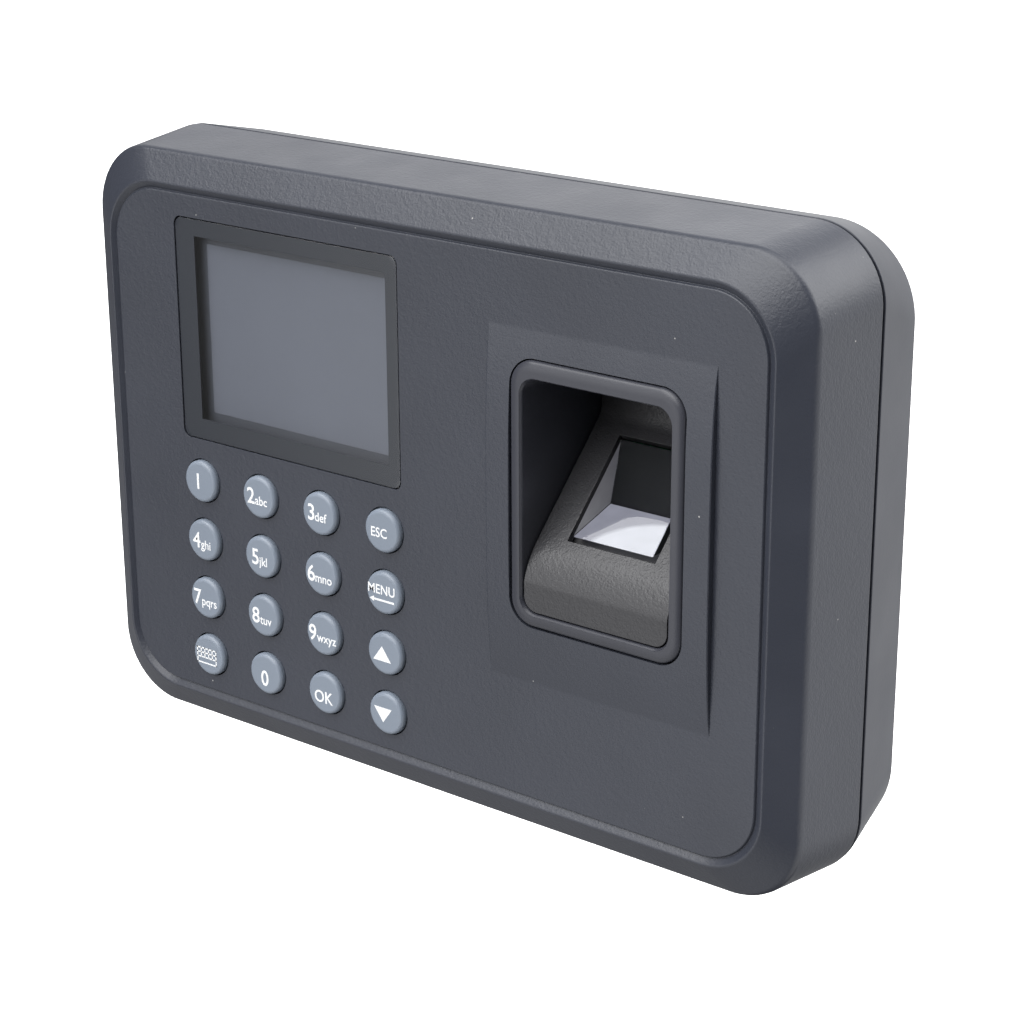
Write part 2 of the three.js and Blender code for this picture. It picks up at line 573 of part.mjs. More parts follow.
function backCover() {
  const plateHeight = PLATE_TOP - plateBottom;
  const plateZ = (PLATE_TOP + plateBottom) / 2;
  const posts = caseScrewPlaces.map(
    ({ x, z }) => drum(CASE_POST_DIAMETER, caseBossEndY + FIT_GAP, -WALL / 2, x, z),
  );
  const pocketBack = blockAt(0, plateZ, PLATE_WIDTH + 2 * WALL, plateHeight + 2 * WALL,
    pocketFloorY, -WALL / 2);
  const lockBoss = block(-PLATE_TAB_WIDTH / 2, PLATE_TAB_WIDTH / 2, -LOCK_SCREW_SETBACK - HOOK_LIP, -WALL / 2,
    lowerWallZ(LOCK_SCREW_SETBACK) + WALL / 2, lockBossTop);
  const pocket = roundedPrism(pocketY, CUT_OVERRUN, PLATE_WIDTH + 2 * FIT_GAP, plateHeight + 2 * FIT_GAP,
    PLATE_RADIUS + FIT_GAP, 0, plateZ);
  const hookSlots = [-1, 1].map((side) => block(
    side * HOOK_SPACING / 2 - HOOK_WIDTH / 2 - FIT_GAP, side * HOOK_SPACING / 2 + HOOK_WIDTH / 2 + FIT_GAP,
    pocketFloorY - CUT_OVERRUN, pocketY + CUT_OVERRUN, hookZ + FIT_GAP - HOOK_ENTRY, hookZ + FIT_GAP,
  ));
  const tabSlot = block(-PLATE_TAB_WIDTH / 2 - FIT_GAP, PLATE_TAB_WIDTH / 2 + FIT_GAP,
    -PLATE_TAB_REACH - PLATE_THICKNESS - FIT_GAP, pocketY + CUT_OVERRUN,
    lockBossTop, plateBottom + PLATE_THICKNESS + FIT_GAP);
  const lockHole = uprightDrum(LOCK_SCREW_DIAMETER + 2 * FIT_GAP, lockHeadZ, lockBossTop + CUT_OVERRUN,
    0, -LOCK_SCREW_SETBACK, HOLE_SEGMENTS);
  const lockBore = uprightDrum(LOCK_SCREW_HEAD_DIAMETER + 2 * FIT_GAP, -halfHeight - CUT_OVERRUN, lockSeatZ,
    0, -LOCK_SCREW_SETBACK);
  const screwHoles = caseScrewPlaces.map(
    ({ x, z }) => drum(CASE_SCREW_DIAMETER + 2 * FIT_GAP, caseBossEndY, CUT_OVERRUN, x, z, HOLE_SEGMENTS),
  );
  const headBoreY = -CASE_SCREW_SINK - CASE_SCREW_HEAD_HEIGHT - FIT_GAP;
  const headBores = caseScrewPlaces.map(
    ({ x, z }) => drum(CASE_SCREW_HEAD_DIAMETER + 2 * FIT_GAP, headBoreY, CUT_OVERRUN, x, z),
  );
  const ports = [
    portWindow(-PORT_SPACING / 2, USB_WIDTH, USB_DEPTH),
    portWindow(PORT_SPACING / 2, JACK_WIDTH, JACK_DEPTH),
  ];
  return shaped(coverSkin(), [...posts, pocketBack, lockBoss],
    [pocket, ...hookSlots, tabSlot, lockHole, lockBore, ...screwHoles, ...headBores, ...ports,
      ...grilleSlots(speakerX, speakerZ)]);
}

function wallPlate() {
  const height = PLATE_TOP - plateBottom;
  const middleZ = (PLATE_TOP + plateBottom) / 2;
  const sheet = roundedPrism(-PLATE_THICKNESS, 0, PLATE_WIDTH, height, PLATE_RADIUS, 0, middleZ);
  const tab = block(-PLATE_TAB_WIDTH / 2, PLATE_TAB_WIDTH / 2,
    -PLATE_TAB_REACH - PLATE_THICKNESS, -PLATE_THICKNESS / 2, plateBottom, plateBottom + PLATE_THICKNESS);
  const hooks = [-1, 1].flatMap((side) => {
    const x0 = side * HOOK_SPACING / 2 - HOOK_WIDTH / 2;
    const x1 = x0 + HOOK_WIDTH;
    const tipY = -PLATE_THICKNESS - HOOK_REACH;
    const undersideZ = hookZ - PLATE_THICKNESS;
    const arm = block(x0, x1, tipY, -PLATE_THICKNESS / 2, undersideZ, hookZ);
    const lip = block(x0, x1, tipY, tipY + PLATE_THICKNESS, undersideZ, undersideZ + HOOK_LIP);
    return [arm, lip];
  });
  const tabHole = uprightDrum(LOCK_SCREW_DIAMETER + 2 * FIT_GAP, plateBottom - CUT_OVERRUN,
    plateBottom + PLATE_THICKNESS + CUT_OVERRUN, 0, -LOCK_SCREW_SETBACK, HOLE_SEGMENTS);
  const holes = cornerPlaces(PLATE_HOLE_SPACING / 2, PLATE_HOLE_SPACING / 2, 0, middleZ)
    .map(({ x, z }) => drum(PLATE_HOLE_DIAMETER, -PLATE_THICKNESS - CUT_OVERRUN, CUT_OVERRUN,
      x, z, HOLE_SEGMENTS));
  return shaped(sheet, [tab, ...hooks], [tabHole, ...holes]);
}

// ---- Fasteners ----

// A screw whose head is at the rear and whose shank points to the front.
function rearScrew(headRearY, headDiameter, headHeight, shankDiameter, length) {
  const seatY = headRearY - headHeight;
  return turned([
    [0, seatY - length],
    [shankDiameter / 2, seatY - length],
    [shankDiameter / 2, seatY],
    [headDiameter / 2, seatY],
    [headDiameter / 2, headRearY - SCREW_HEAD_EDGE],
    [headDiameter / 2 - SCREW_HEAD_EDGE, headRearY],
    [0, headRearY],
  ], HOLE_SEGMENTS);
}

function lockScrew() {
  const profile = [
    [0, 0],
    [LOCK_SCREW_HEAD_DIAMETER / 2, 0],
    [LOCK_SCREW_HEAD_DIAMETER / 2, LOCK_SCREW_HEAD_HEIGHT],
    [LOCK_SCREW_DIAMETER / 2, LOCK_SCREW_HEAD_HEIGHT],
    [LOCK_SCREW_DIAMETER / 2, LOCK_SCREW_HEAD_HEIGHT + LOCK_SCREW_LENGTH],
    [0, LOCK_SCREW_HEAD_HEIGHT + LOCK_SCREW_LENGTH],
  ];
  return turned(profile, HOLE_SEGMENTS).rotateX(Math.PI / 2).translate(0, -LOCK_SCREW_SETBACK, lockHeadZ);
}

// ---- Display ----

function lcdFrame() {
  const tray = blockAt(lensX, lensZ, LCD_WIDTH, LCD_HEIGHT, lcdFrontY, lcdRearY);
  const hollow = blockAt(lensX, lensZ, LCD_WIDTH - 2 * LCD_FRAME_WALL, LCD_HEIGHT - 2 * LCD_FRAME_WALL,
    lcdFrontY - CUT_OVERRUN, lcdTrayY);
  return shaped(tray, [], [hollow]);
}

function addDisplay() {
  const insideWidth = LCD_WIDTH - 2 * (LCD_FRAME_WALL + FIT_GAP);
  const insideHeight = LCD_HEIGHT - 2 * (LCD_FRAME_WALL + FIT_GAP);
  const lensFrontY = panelY + LENS_SINK;
  const lens = roundedPrism(lensFrontY, lensFrontY + LENS_THICKNESS, LENS_WIDTH, LENS_HEIGHT, LENS_RADIUS);
  place('display_lens', lens, 'lensGlass', lensX, lensZ);
  place('lcd_panel', blockAt(0, 0, insideWidth, insideHeight, lcdGlassY, lcdGlassY + LCD_GLASS_THICKNESS),
    'lcdGlass', lensX, lensZ);
  place('lcd_backlight', blockAt(0, 0, insideWidth, insideHeight,
    backlightY, backlightY + BACKLIGHT_THICKNESS), 'whitePlastic', lensX, lensZ);
  place('lcd_frame', lcdFrame(), 'steel');
}

// ---- Keypad ----

function keyCap() {
  const radius = KEY_DIAMETER / 2;
  const topY = panelY - KEY_PROUD;
  return turned([
    [0, topY],
    [radius - KEY_EDGE, topY],
    [radius, topY + KEY_EDGE],
    [radius, keyFlangeY],
    [radius + KEY_FLANGE, keyFlangeY],
    [radius + KEY_FLANGE, keyFlangeY + KEY_FLANGE_THICKNESS],
    [KEY_STEM_DIAMETER / 2, keyFlangeY + KEY_FLANGE_THICKNESS],
    [KEY_STEM_DIAMETER / 2, keyStemEndY],
    [0, keyStemEndY],
  ], ROUND_SEGMENTS);
}

function addKeypad() {
  const cap = keyCap();
  keyPlaces().forEach(({ name, x, z }) => place(name, cap, 'keyPlastic', x, z));
  const sheet = blockAt(keypadX, keypadZ, matWidth, matHeight, matY, matY + MAT_THICKNESS);
  const domes = keyPlaces().map(
    ({ x, z }) => drum(DOME_DIAMETER, domeY, matY + MAT_THICKNESS / 2, x, z, HOLE_SEGMENTS),
  );
  place('keypad_mat', shaped(sheet, domes, []), 'silicone');
  place('keypad_board', blockAt(0, 0, matWidth, matHeight, keypadBoardY, keypadBoardRearY),
    'boardGreen', keypadX, keypadZ);
}

// ---- Boards and what is on them ----

function mainBoard() {
  const sheet = blockAt(mainBoardX, 0, mainBoardRight - mainBoardLeft, 2 * mainBoardHalfHeight,
    -MAIN_BOARD_DEPTH, mainBoardRearY);
  const holes = boardScrewPlaces.map(({ x, z }) => drum(BOARD_SCREW_DIAMETER + 2 * FIT_GAP,
    -MAIN_BOARD_DEPTH - CUT_OVERRUN, mainBoardRearY + CUT_OVERRUN, x, z, HOLE_SEGMENTS));
  return shaped(sheet, [], holes);
}

function cellHolder() {
  const topY = componentY + CELL_HOLDER_FLOOR + CELL_HOLDER_RIM;
  const inside = CELL_DIAMETER + 2 * FIT_GAP;
  const outside = inside + 2 * CELL_HOLDER_WALL;
  const cup = drum(outside, componentY, topY, 0, 0, LARGE_ROUND_SEGMENTS);
  const hollow = drum(inside, componentY + CELL_HOLDER_FLOOR, topY + CUT_OVERRUN,
    0, 0, LARGE_ROUND_SEGMENTS);
  return shaped(cup, [], [hollow]);
}

function addBoards() {
  const cellX = mainBoardX + CHIP_SIZE / 2;
  const cellZ = mainBoardHalfHeight / 2;
  const cellY = componentY + CELL_HOLDER_FLOOR + FIT_GAP;
  place('main_board', mainBoard(), 'boardGreen');
  place('main_processor', blockAt(0, 0, CHIP_SIZE, CHIP_SIZE, componentY, componentY + CHIP_THICKNESS),
    'chipBlack', mainBoardX - CHIP_SIZE, -CHIP_DROP);
  place('memory_chip', blockAt(0, 0, MEMORY_WIDTH, MEMORY_HEIGHT, componentY, componentY + MEMORY_THICKNESS),
    'chipBlack', mainBoardX + CHIP_SIZE / 2, -CHIP_DROP);
  place('backup_cell_holder', cellHolder(), 'chipBlack', cellX, cellZ);
  place('backup_cell', drum(CELL_DIAMETER, cellY, cellY + CELL_THICKNESS, 0, 0, LARGE_ROUND_SEGMENTS),
    'nickel', cellX, cellZ);
  const portBoardZ = lowerWallZ(PORT_SETBACK) + 2 * WALL + PORT_BOARD_HEIGHT / 2;
  place('port_board', blockAt(0, 0, PORT_BOARD_WIDTH, PORT_BOARD_HEIGHT,
    portBoardRearY - PORT_BOARD_THICKNESS, portBoardRearY), 'boardGreen', 0, portBoardZ);
}

// ---- Ports ----

// A block centred on X and Y, between two heights.
function upright(width, depth, z0, z1) {
  return block(-width / 2, width / 2, -depth / 2, depth / 2, z0, z1);
}

function portMouthZ(depth) {
  return lowerWallZ(PORT_SETBACK - depth / 2) + PORT_MOUTH_INSET;
}

function usbSocket() {
  const mouthZ = portMouthZ(USB_DEPTH);
  const shell = upright(USB_WIDTH, USB_DEPTH, mouthZ, mouthZ + USB_LENGTH);
  const hollow = upright(USB_WIDTH - 2 * USB_SHELL, USB_DEPTH - 2 * USB_SHELL,
    mouthZ - CUT_OVERRUN, mouthZ + USB_CAVITY);
  const tongueY = USB_DEPTH / 2 - 2 * USB_SHELL - USB_TONGUE_DEPTH / 2;
  const tongue = upright(USB_TONGUE_WIDTH, USB_TONGUE_DEPTH,
    mouthZ + CUT_OVERRUN, mouthZ + USB_CAVITY + CUT_OVERRUN).translate(0, tongueY, 0);
  const opened = shaped(shell, [], [hollow]);
  return shaped(opened, [tongue], []).translate(-PORT_SPACING / 2, -PORT_SETBACK, 0);
}

function powerJack() {
  const mouthZ = portMouthZ(JACK_DEPTH);
  const housing = upright(JACK_WIDTH, JACK_DEPTH, mouthZ, mouthZ + JACK_LENGTH);
  const bore = uprightDrum(JACK_BORE_DIAMETER, mouthZ - CUT_OVERRUN, mouthZ + JACK_BORE_DEPTH, 0, 0);
  const pinEnd = mouthZ + JACK_BORE_DEPTH + CUT_OVERRUN;
  const pin = uprightDrum(JACK_PIN_DIAMETER, pinEnd - JACK_PIN_LENGTH, pinEnd, 0, 0, PIN_SEGMENTS);
  const opened = shaped(housing, [], [bore]);
  return shaped(opened, [pin], []).translate(PORT_SPACING / 2, -PORT_SETBACK, 0);
}

// ---- Finger sensor ----

function sensorBezel() {
  const flangeY = innerY + FIT_GAP;
  const flangeEndY = flangeY + BEZEL_FLANGE_THICKNESS;
  const tubeHalfWidth = WELL_WIDTH / 2 + WELL_WALL;
  const tubeHalfHeight = WELL_HEIGHT / 2 + WELL_WALL;
  const rim = (y, grow) => roundedRing(y, bezelHalfWidth + grow, bezelHalfHeight + grow,
    bezelRadius + Math.min(grow, 0), sensorX, bezelZ);
  const body = loft([
    rim(bezelY, -BEZEL_EDGE),
    rim(bezelY + BEZEL_EDGE, 0),
    rim(flangeY, 0),
    rim(flangeY, BEZEL_FLANGE),
    rim(flangeEndY, BEZEL_FLANGE),
    roundedRing(flangeEndY, tubeHalfWidth, tubeHalfHeight, WELL_RADIUS + WELL_WALL, sensorX, sensorZ),
    roundedRing(wellEndY, tubeHalfWidth, tubeHalfHeight, WELL_RADIUS + WELL_WALL, sensorX, sensorZ),
  ]);
  const well = roundedPrism(bezelY - CUT_OVERRUN, wellEndY + CUT_OVERRUN,
    WELL_WIDTH, WELL_HEIGHT, WELL_RADIUS, sensorX, sensorZ);
  return shaped(body, [], [well]);
}

// A place given along the ramp from its sharp lower corner, and above its face.
function onRamp(along, above) {
  return [
    bezelY + along * Math.cos(RAMP_ANGLE) - above * Math.sin(RAMP_ANGLE),
    rampCornerZ + along * Math.sin(RAMP_ANGLE) + above * Math.cos(RAMP_ANGLE),
  ];
}

function rampPath() {
  const bottomZ = sensorZ - WELL_HEIGHT / 2 + FIT_GAP;
  const topZ = sensorZ + WELL_HEIGHT / 2 - FIT_GAP;
  const turn = Math.PI / 2 - RAMP_ANGLE;
  const noseRun = NOSE_RADIUS * Math.tan(turn / 2);
  const filletRun = FILLET_RADIUS * Math.tan(turn / 2);
  const backCornerZ = rampCornerZ + (wellBackY - bezelY) * Math.tan(RAMP_ANGLE);
  const nose = arcPoints(bezelY + NOSE_RADIUS, rampCornerZ - noseRun, NOSE_RADIUS, Math.PI, Math.PI - turn,
    NOSE_STEPS);
  const fillet = arcPoints(wellBackY - FILLET_RADIUS, backCornerZ + filletRun, FILLET_RADIUS, -turn, 0,
    FILLET_STEPS);
  return [[bezelY, bottomZ], ...nose, ...fillet, [wellBackY, topZ]];
}

function sensorHousing() {
  const halfWide = WELL_WIDTH / 2 - FIT_GAP;
  const skin = sideProfile(stripOutline(rampPath(), RAMP_WALL), sensorX - halfWide, sensorX + halfWide);
  const windowFrom = PRISM_START - PRISM_GAP;
  const windowTo = PRISM_START + PRISM_FACE + PRISM_GAP;
  const cut = [
    onRamp(windowFrom, CUT_OVERRUN),
    onRamp(windowFrom, -RAMP_WALL - CUT_OVERRUN),
    onRamp(windowTo, -RAMP_WALL - CUT_OVERRUN),
    onRamp(windowTo, CUT_OVERRUN),
  ];
  const halfWindow = PRISM_WIDTH / 2 + PRISM_GAP;
  const wellInside = roundedPrism(bezelY - CUT_OVERRUN, wellEndY + CUT_OVERRUN,
    WELL_WIDTH - 2 * FIT_GAP, WELL_HEIGHT - 2 * FIT_GAP, WELL_RADIUS - FIT_GAP, sensorX, sensorZ);
  return shaped(skin, [], [sideProfile(cut, sensorX - halfWindow, sensorX + halfWindow)], [wellInside]);
}

// The right-angled glass prism: its long face is the finger plate.
function prismOutline(clearance) {
  const lower = onRamp(PRISM_START, PRISM_PROUD);
  const upper = onRamp(PRISM_START + PRISM_FACE, PRISM_PROUD);
  return {
    frontY: lower[0],
    bottomZ: lower[1] - clearance,
    backY: upper[0] + clearance,
    topZ: upper[1],
  };
}

function sensorPrism() {
  const { frontY, bottomZ, backY, topZ } = prismOutline(0);
  const outline = [[frontY, bottomZ], [backY, bottomZ], [backY, topZ]];
  return sideProfile(outline, sensorX - PRISM_WIDTH / 2, sensorX + PRISM_WIDTH / 2);
}

// The part of a right-angled corner that lies a set depth below the ramp's face.
function cornerBelowRamp(bottomZ, backY, below) {
  const face = onRamp(0, -below);
  const slope = Math.tan(RAMP_ANGLE);
  return [
    [face[0] + (bottomZ - face[1]) / slope, bottomZ],
    [backY, bottomZ],
    [backY, face[1] + (backY - face[0]) * slope],
  ];
}

function prismCradle() {
  const seat = prismOutline(FIT_GAP);
  const bottomZ = seat.bottomZ - CRADLE_WALL;
  const backY = seat.backY + CRADLE_WALL;
  const halfInside = PRISM_WIDTH / 2 + FIT_GAP;
  const halfOutside = halfInside + CRADLE_WALL;
  const body = sideProfile(cornerBelowRamp(bottomZ, backY, RAMP_WALL + FIT_GAP),
    sensorX - halfOutside, sensorX + halfOutside);
  const hollow = sideProfile(cornerBelowRamp(seat.bottomZ, seat.backY, 0),
    sensorX - halfInside, sensorX + halfInside);
  const middleY = (seat.frontY + seat.backY) / 2;
  const middleZ = (seat.bottomZ + seat.topZ) / 2;
  const half = CAMERA_WINDOW / 2;
  const lightWindow = block(sensorX - half, sensorX + half, middleY - half, middleY + half,
    bottomZ - CUT_OVERRUN, seat.bottomZ + CUT_OVERRUN);
  const cameraWindow = block(sensorX - half, sensorX + half, seat.backY - CUT_OVERRUN, backY + CUT_OVERRUN,
    middleZ - half, middleZ + half);
  return shaped(body, [], [hollow, lightWindow, cameraWindow]);
}

function addSensor() {
  const seat = prismOutline(FIT_GAP);
  const middleY = (seat.frontY + seat.backY) / 2;
  const middleZ = (seat.bottomZ + seat.topZ) / 2;
  const cradleBottom = seat.bottomZ - CRADLE_WALL;
  const diffuserTop = cradleBottom - FIT_GAP;
  const ledTop = diffuserTop - DIFFUSER_THICKNESS - LED_DROP;
  const ledBoardTop = ledTop - LED_THICKNESS - FIT_GAP;
  const run = CAMERA_WINDOW + 2 * CUT_OVERRUN;
  place('sensor_bezel', sensorBezel(), 'casePlastic');
  place('sensor_housing', sensorHousing(), 'sensorPlastic');
  place('sensor_prism', sensorPrism(), 'prismGlass');
  place('prism_cradle', prismCradle(), 'chipBlack');
  place('sensor_diffuser', upright(PRISM_WIDTH, run, diffuserTop - DIFFUSER_THICKNESS, diffuserTop),
    'whitePlastic', sensorX, 0, middleY);
  place('sensor_light_board', upright(PRISM_WIDTH, run, ledBoardTop - LED_BOARD_THICKNESS, ledBoardTop),
    'boardGreen', sensorX, 0, middleY);
  [['sensor_light_left', -1], ['sensor_light_right', 1]].forEach(([name, side]) => {
    place(name, upright(LED_SIZE, LED_SIZE, ledTop - LED_THICKNESS, ledTop),
      'whitePlastic', sensorX + side * LED_SPACING / 2, 0, middleY);
  });
  place('sensor_camera', drum(CAMERA_DIAMETER, seat.backY + CRADLE_WALL + FIT_GAP, sensorBoardY - FIT_GAP),
    'chipBlack', sensorX, middleZ);
  place('sensor_board', blockAt(0, 0, WELL_WIDTH + 2 * WELL_WALL, WELL_HEIGHT + 2 * WELL_WALL,
    sensorBoardY, sensorBoardRearY), 'boardGreen', sensorX, sensorZ);
}

// ---- Flat cables ----

// A double bend from one depth to another: it runs down, crosses and runs down again.
function ribbonPath(fromY, toY, startZ) {
  const radius = Math.abs(toY - fromY) / 2;
  const bendZ = startZ - RIBBON_TAIL;
  const first = arcPoints(fromY + radius, bendZ, radius, Math.PI, 1.5 * Math.PI, RIBBON_STEPS);
  const second = arcPoints(fromY + radius, bendZ - 2 * radius, radius, Math.PI / 2, 0, RIBBON_STEPS);
  return [[fromY, startZ], ...first, ...second.slice(1), [toY, bendZ - 2 * radius - RIBBON_TAIL]];
}

function frontRibbon(fromY, startZ, x, width) {
  const toY = -MAIN_BOARD_DEPTH - RIBBON_OFFSET;
  const path = ribbonPath(fromY + RIBBON_OFFSET + RIBBON_THICKNESS, toY, startZ);
  return sideProfile(stripOutline(path, RIBBON_THICKNESS).reverse(), x - width / 2, x + width / 2);
}

function sensorRibbon() {
  const tubeLeft = sensorX - WELL_WIDTH / 2 - WELL_WALL;
  const farY = sensorBoardRearY + RIBBON_OFFSET;
  const nearY = componentY + RIBBON_OFFSET;
  const radius = (farY - nearY) / 2;
  const bendX = tubeLeft - FIT_GAP;
  const first = arcPoints(bendX, nearY + radius, radius, Math.PI / 2, Math.PI, RIBBON_STEPS);
  const second = arcPoints(bendX - 2 * radius, nearY + radius, radius, 0, -Math.PI / 2, RIBBON_STEPS);
  const boardEndX = bendX - 2 * radius - RIBBON_TAIL;
  const path = [[bendX + RIBBON_TAIL, farY], ...first, ...second.slice(1), [boardEndX, nearY]];
  return planProfile(stripOutline(path, RIBBON_THICKNESS), -SENSOR_RIBBON_WIDTH / 2, SENSOR_RIBBON_WIDTH / 2);
}

// ---- Assembly ----

place('front_shell', frontShell(), 'casePlastic');
place('back_cover', backCover(), 'casePlastic');
place('wall_plate', wallPlate(), 'steel');
place('plate_lock_screw', lockScrew(), 'nickel');
addDisplay();
addKeypad();
addBoards();
place('usb_socket', usbSocket(), 'nickel');
place('power_jack', powerJack(), 'chipBlack');
const speakerRearY = -WALL - FIT_GAP;
place('speaker', drum(SPEAKER_DIAMETER, speakerRearY - SPEAKER_THICKNESS, speakerRearY, 0, 0,
  LARGE_ROUND_SEGMENTS), 'chipBlack', speakerX, speakerZ);
addSensor();
place('display_ribbon', frontRibbon(lcdRearY, lensZ + RIBBON_TAIL, lensX, DISPLAY_RIBBON_WIDTH), 'cableFilm');
place('keypad_ribbon', frontRibbon(keypadBoardRearY, keypadZ + RIBBON_TAIL, keypadX + KEYPAD_RIBBON_OFFSET,
  KEYPAD_RIBBON_WIDTH), 'cableFilm');
place('sensor_ribbon', sensorRibbon(), 'cableFilm');
caseScrewPlaces.forEach(({ x, z }, index) => {
  const screw = rearScrew(-CASE_SCREW_SINK, CASE_SCREW_HEAD_DIAMETER, CASE_SCREW_HEAD_HEIGHT,
    CASE_SCREW_DIAMETER, CASE_SCREW_LENGTH);
  place(`case_screw_${index + 1}`, screw, 'nickel', x, z);
});
boardScrewPlaces.forEach(({ x, z }, index) => {
  const screw = rearScrew(componentY + BOARD_SCREW_HEAD_HEIGHT, BOARD_SCREW_HEAD_DIAMETER,
    BOARD_SCREW_HEAD_HEIGHT, BOARD_SCREW_DIAMETER, BOARD_SCREW_LENGTH);
  place(`board_screw_${index + 1}`, screw, 'nickel', x, z);
});

export default terminal;
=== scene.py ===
"""Fingerprint scanner terminal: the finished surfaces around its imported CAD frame.

Sizes are in millimetres and become metres where a mesh is made. +X is to the user's
right, +Z is up and the front faces -Y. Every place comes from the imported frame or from
the sizes that each class holds.
"""
import logging
import math
from collections.abc import Iterable, Sequence
from dataclasses import dataclass, field, replace
from enum import Enum

import bmesh
import bpy
from mathutils import Matrix, Quaternion, Vector


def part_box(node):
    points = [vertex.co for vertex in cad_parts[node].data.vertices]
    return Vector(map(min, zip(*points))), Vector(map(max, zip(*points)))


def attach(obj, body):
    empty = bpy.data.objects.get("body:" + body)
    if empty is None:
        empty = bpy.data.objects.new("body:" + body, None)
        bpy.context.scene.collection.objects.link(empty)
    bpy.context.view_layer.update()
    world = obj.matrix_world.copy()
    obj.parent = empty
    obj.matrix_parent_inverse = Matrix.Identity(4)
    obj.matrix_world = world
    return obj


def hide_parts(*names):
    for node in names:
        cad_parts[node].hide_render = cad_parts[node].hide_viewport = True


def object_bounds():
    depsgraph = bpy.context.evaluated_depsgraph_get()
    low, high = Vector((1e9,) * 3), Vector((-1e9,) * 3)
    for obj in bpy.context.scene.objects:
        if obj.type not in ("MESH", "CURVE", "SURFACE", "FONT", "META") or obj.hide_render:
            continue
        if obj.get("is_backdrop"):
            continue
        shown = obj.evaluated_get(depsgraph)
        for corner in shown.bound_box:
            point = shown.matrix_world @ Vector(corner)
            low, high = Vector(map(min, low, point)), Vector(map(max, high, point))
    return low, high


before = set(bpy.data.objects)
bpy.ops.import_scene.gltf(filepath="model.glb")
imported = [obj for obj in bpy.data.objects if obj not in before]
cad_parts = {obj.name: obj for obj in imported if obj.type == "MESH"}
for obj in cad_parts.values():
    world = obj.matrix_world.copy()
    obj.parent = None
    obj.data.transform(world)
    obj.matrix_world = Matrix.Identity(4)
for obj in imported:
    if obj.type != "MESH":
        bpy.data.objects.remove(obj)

MM = 0.001
CASE_BODY = "case"
CORNER_STEPS = 20
SOFT_STEPS = 4
ROUND_STEPS = 48
SHARP_ANGLE = math.radians(32)

Point = tuple[float, float, float]
Colour = tuple[float, float, float]
log = logging.getLogger("terminal")


# ---- Places ----

@dataclass(frozen=True)
class Span:
    """The box of one CAD node, in millimetres."""

    low: Point
    high: Point

    @classmethod
    def of(cls, node: str) -> "Span":
        """Reads a node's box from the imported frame."""
        low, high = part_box(node)
        return cls(tuple(value / MM for value in low), tuple(value / MM for value in high))

    @property
    def middle(self) -> Point:
        """The middle of the box."""
        return tuple((a + b) / 2 for a, b in zip(self.low, self.high))

    @property
    def size(self) -> Point:
        """The box's width, depth and height."""
        return tuple(b - a for a, b in zip(self.low, self.high))


# ---- Solids ----

@dataclass(frozen=True)
class Section:
    """A rounded rectangle across the Y axis, and how far its edge is softened."""

    y: float
    half_width: float
    half_height: float
    radius: float
    soft: float = 0.0

    def grown(self, amount: float, y: float, soft: float = 0.0) -> "Section":
        """The same outline, larger by an amount all round, at another depth."""
        return Section(y, self.half_width + amount, self.half_height + amount,
                       self.radius + amount, soft)

    def mixed(self, other: "Section", share: float) -> "Section":
        """The section a share of the way to another one.

        Args:
            other: The section at the far end.
            share: How far towards it, from 0 to 1.

        Returns:
            The section between the two.
        """
        def between(a: float, b: float) -> float:
            """Mixes two numbers by the share."""
            return a + (b - a) * share
        return Section(between(self.y, other.y), between(self.half_width, other.half_width),
                       between(self.half_height, other.half_height),
                       between(self.radius, other.radius))

    def towards(self, other: "Section", distance: float) -> "Section":
        """The section a distance nearer to another one, at most half of the way."""
        length = math.hypot(other.y - self.y, other.half_width - self.half_width)
        return self.mixed(other, min(distance / max(length, 1e-6), 0.5))

    def ring(self, x: float, z: float) -> list[Point]:
        """The outline's points around a centre.

        Args:
            x: Centre of the outline.
            z: Centre of the outline.

        Returns:
            The outline's points, all at the section's depth.
        """
        points = []
        for corner, (sx, sz) in enumerate(((1, 1), (-1, 1), (-1, -1), (1, -1))):
            for step in range(CORNER_STEPS + 1):
                angle = (corner + step / CORNER_STEPS) * math.pi / 2
                points.append((
                    x + sx * (self.half_width - self.radius) + self.radius * math.cos(angle),
                    self.y,
                    z + sz * (self.half_height - self.radius) + self.radius * math.sin(angle),
                ))
        return points


class Cut(Enum):
    """What one solid does to another."""

    JOIN = "UNION"
    REMOVE = "DIFFERENCE"
    KEEP_INSIDE = "INTERSECT"


def closed_mesh(points: Sequence[Point], faces: Sequence[Sequence[int]]) -> bpy.types.Mesh:
    """Makes a closed mesh with merged doubles and outward faces.

    Args:
        points: Corners in millimetres.
        faces: Corner numbers of each face.

    Returns:
        The mesh, in metres.
    """
    mesh = bpy.data.meshes.new("solid")
    mesh.from_pydata([[value * MM for value in point] for point in points], [], faces)
    editable = bmesh.new()
    editable.from_mesh(mesh)
    bmesh.ops.remove_doubles(editable, verts=editable.verts, dist=1e-7)
    bmesh.ops.dissolve_degenerate(editable, edges=editable.edges, dist=1e-8)
    bmesh.ops.recalc_face_normals(editable, faces=editable.faces)
    editable.to_mesh(mesh)
    editable.free()
    return mesh


def skin(rings: Sequence[Sequence[Point]]) -> bpy.types.Mesh:
    """Makes a closed skin through rings of equal length, capped at both ends.

    Args:
        rings: Rings of as many points each, from one end cap to the other.

    Returns:
        The closed mesh.
    """
    size = len(rings[0])
    faces = [list(range(size)), list(range((len(rings) - 1) * size, len(rings) * size))]
    for row in range(len(rings) - 1):
        for step in range(size):
            a, b = row * size + step, row * size + (step + 1) % size
            faces.append([a, b, b + size, a + size])
    return closed_mesh([point for ring in rings for point in ring], faces)


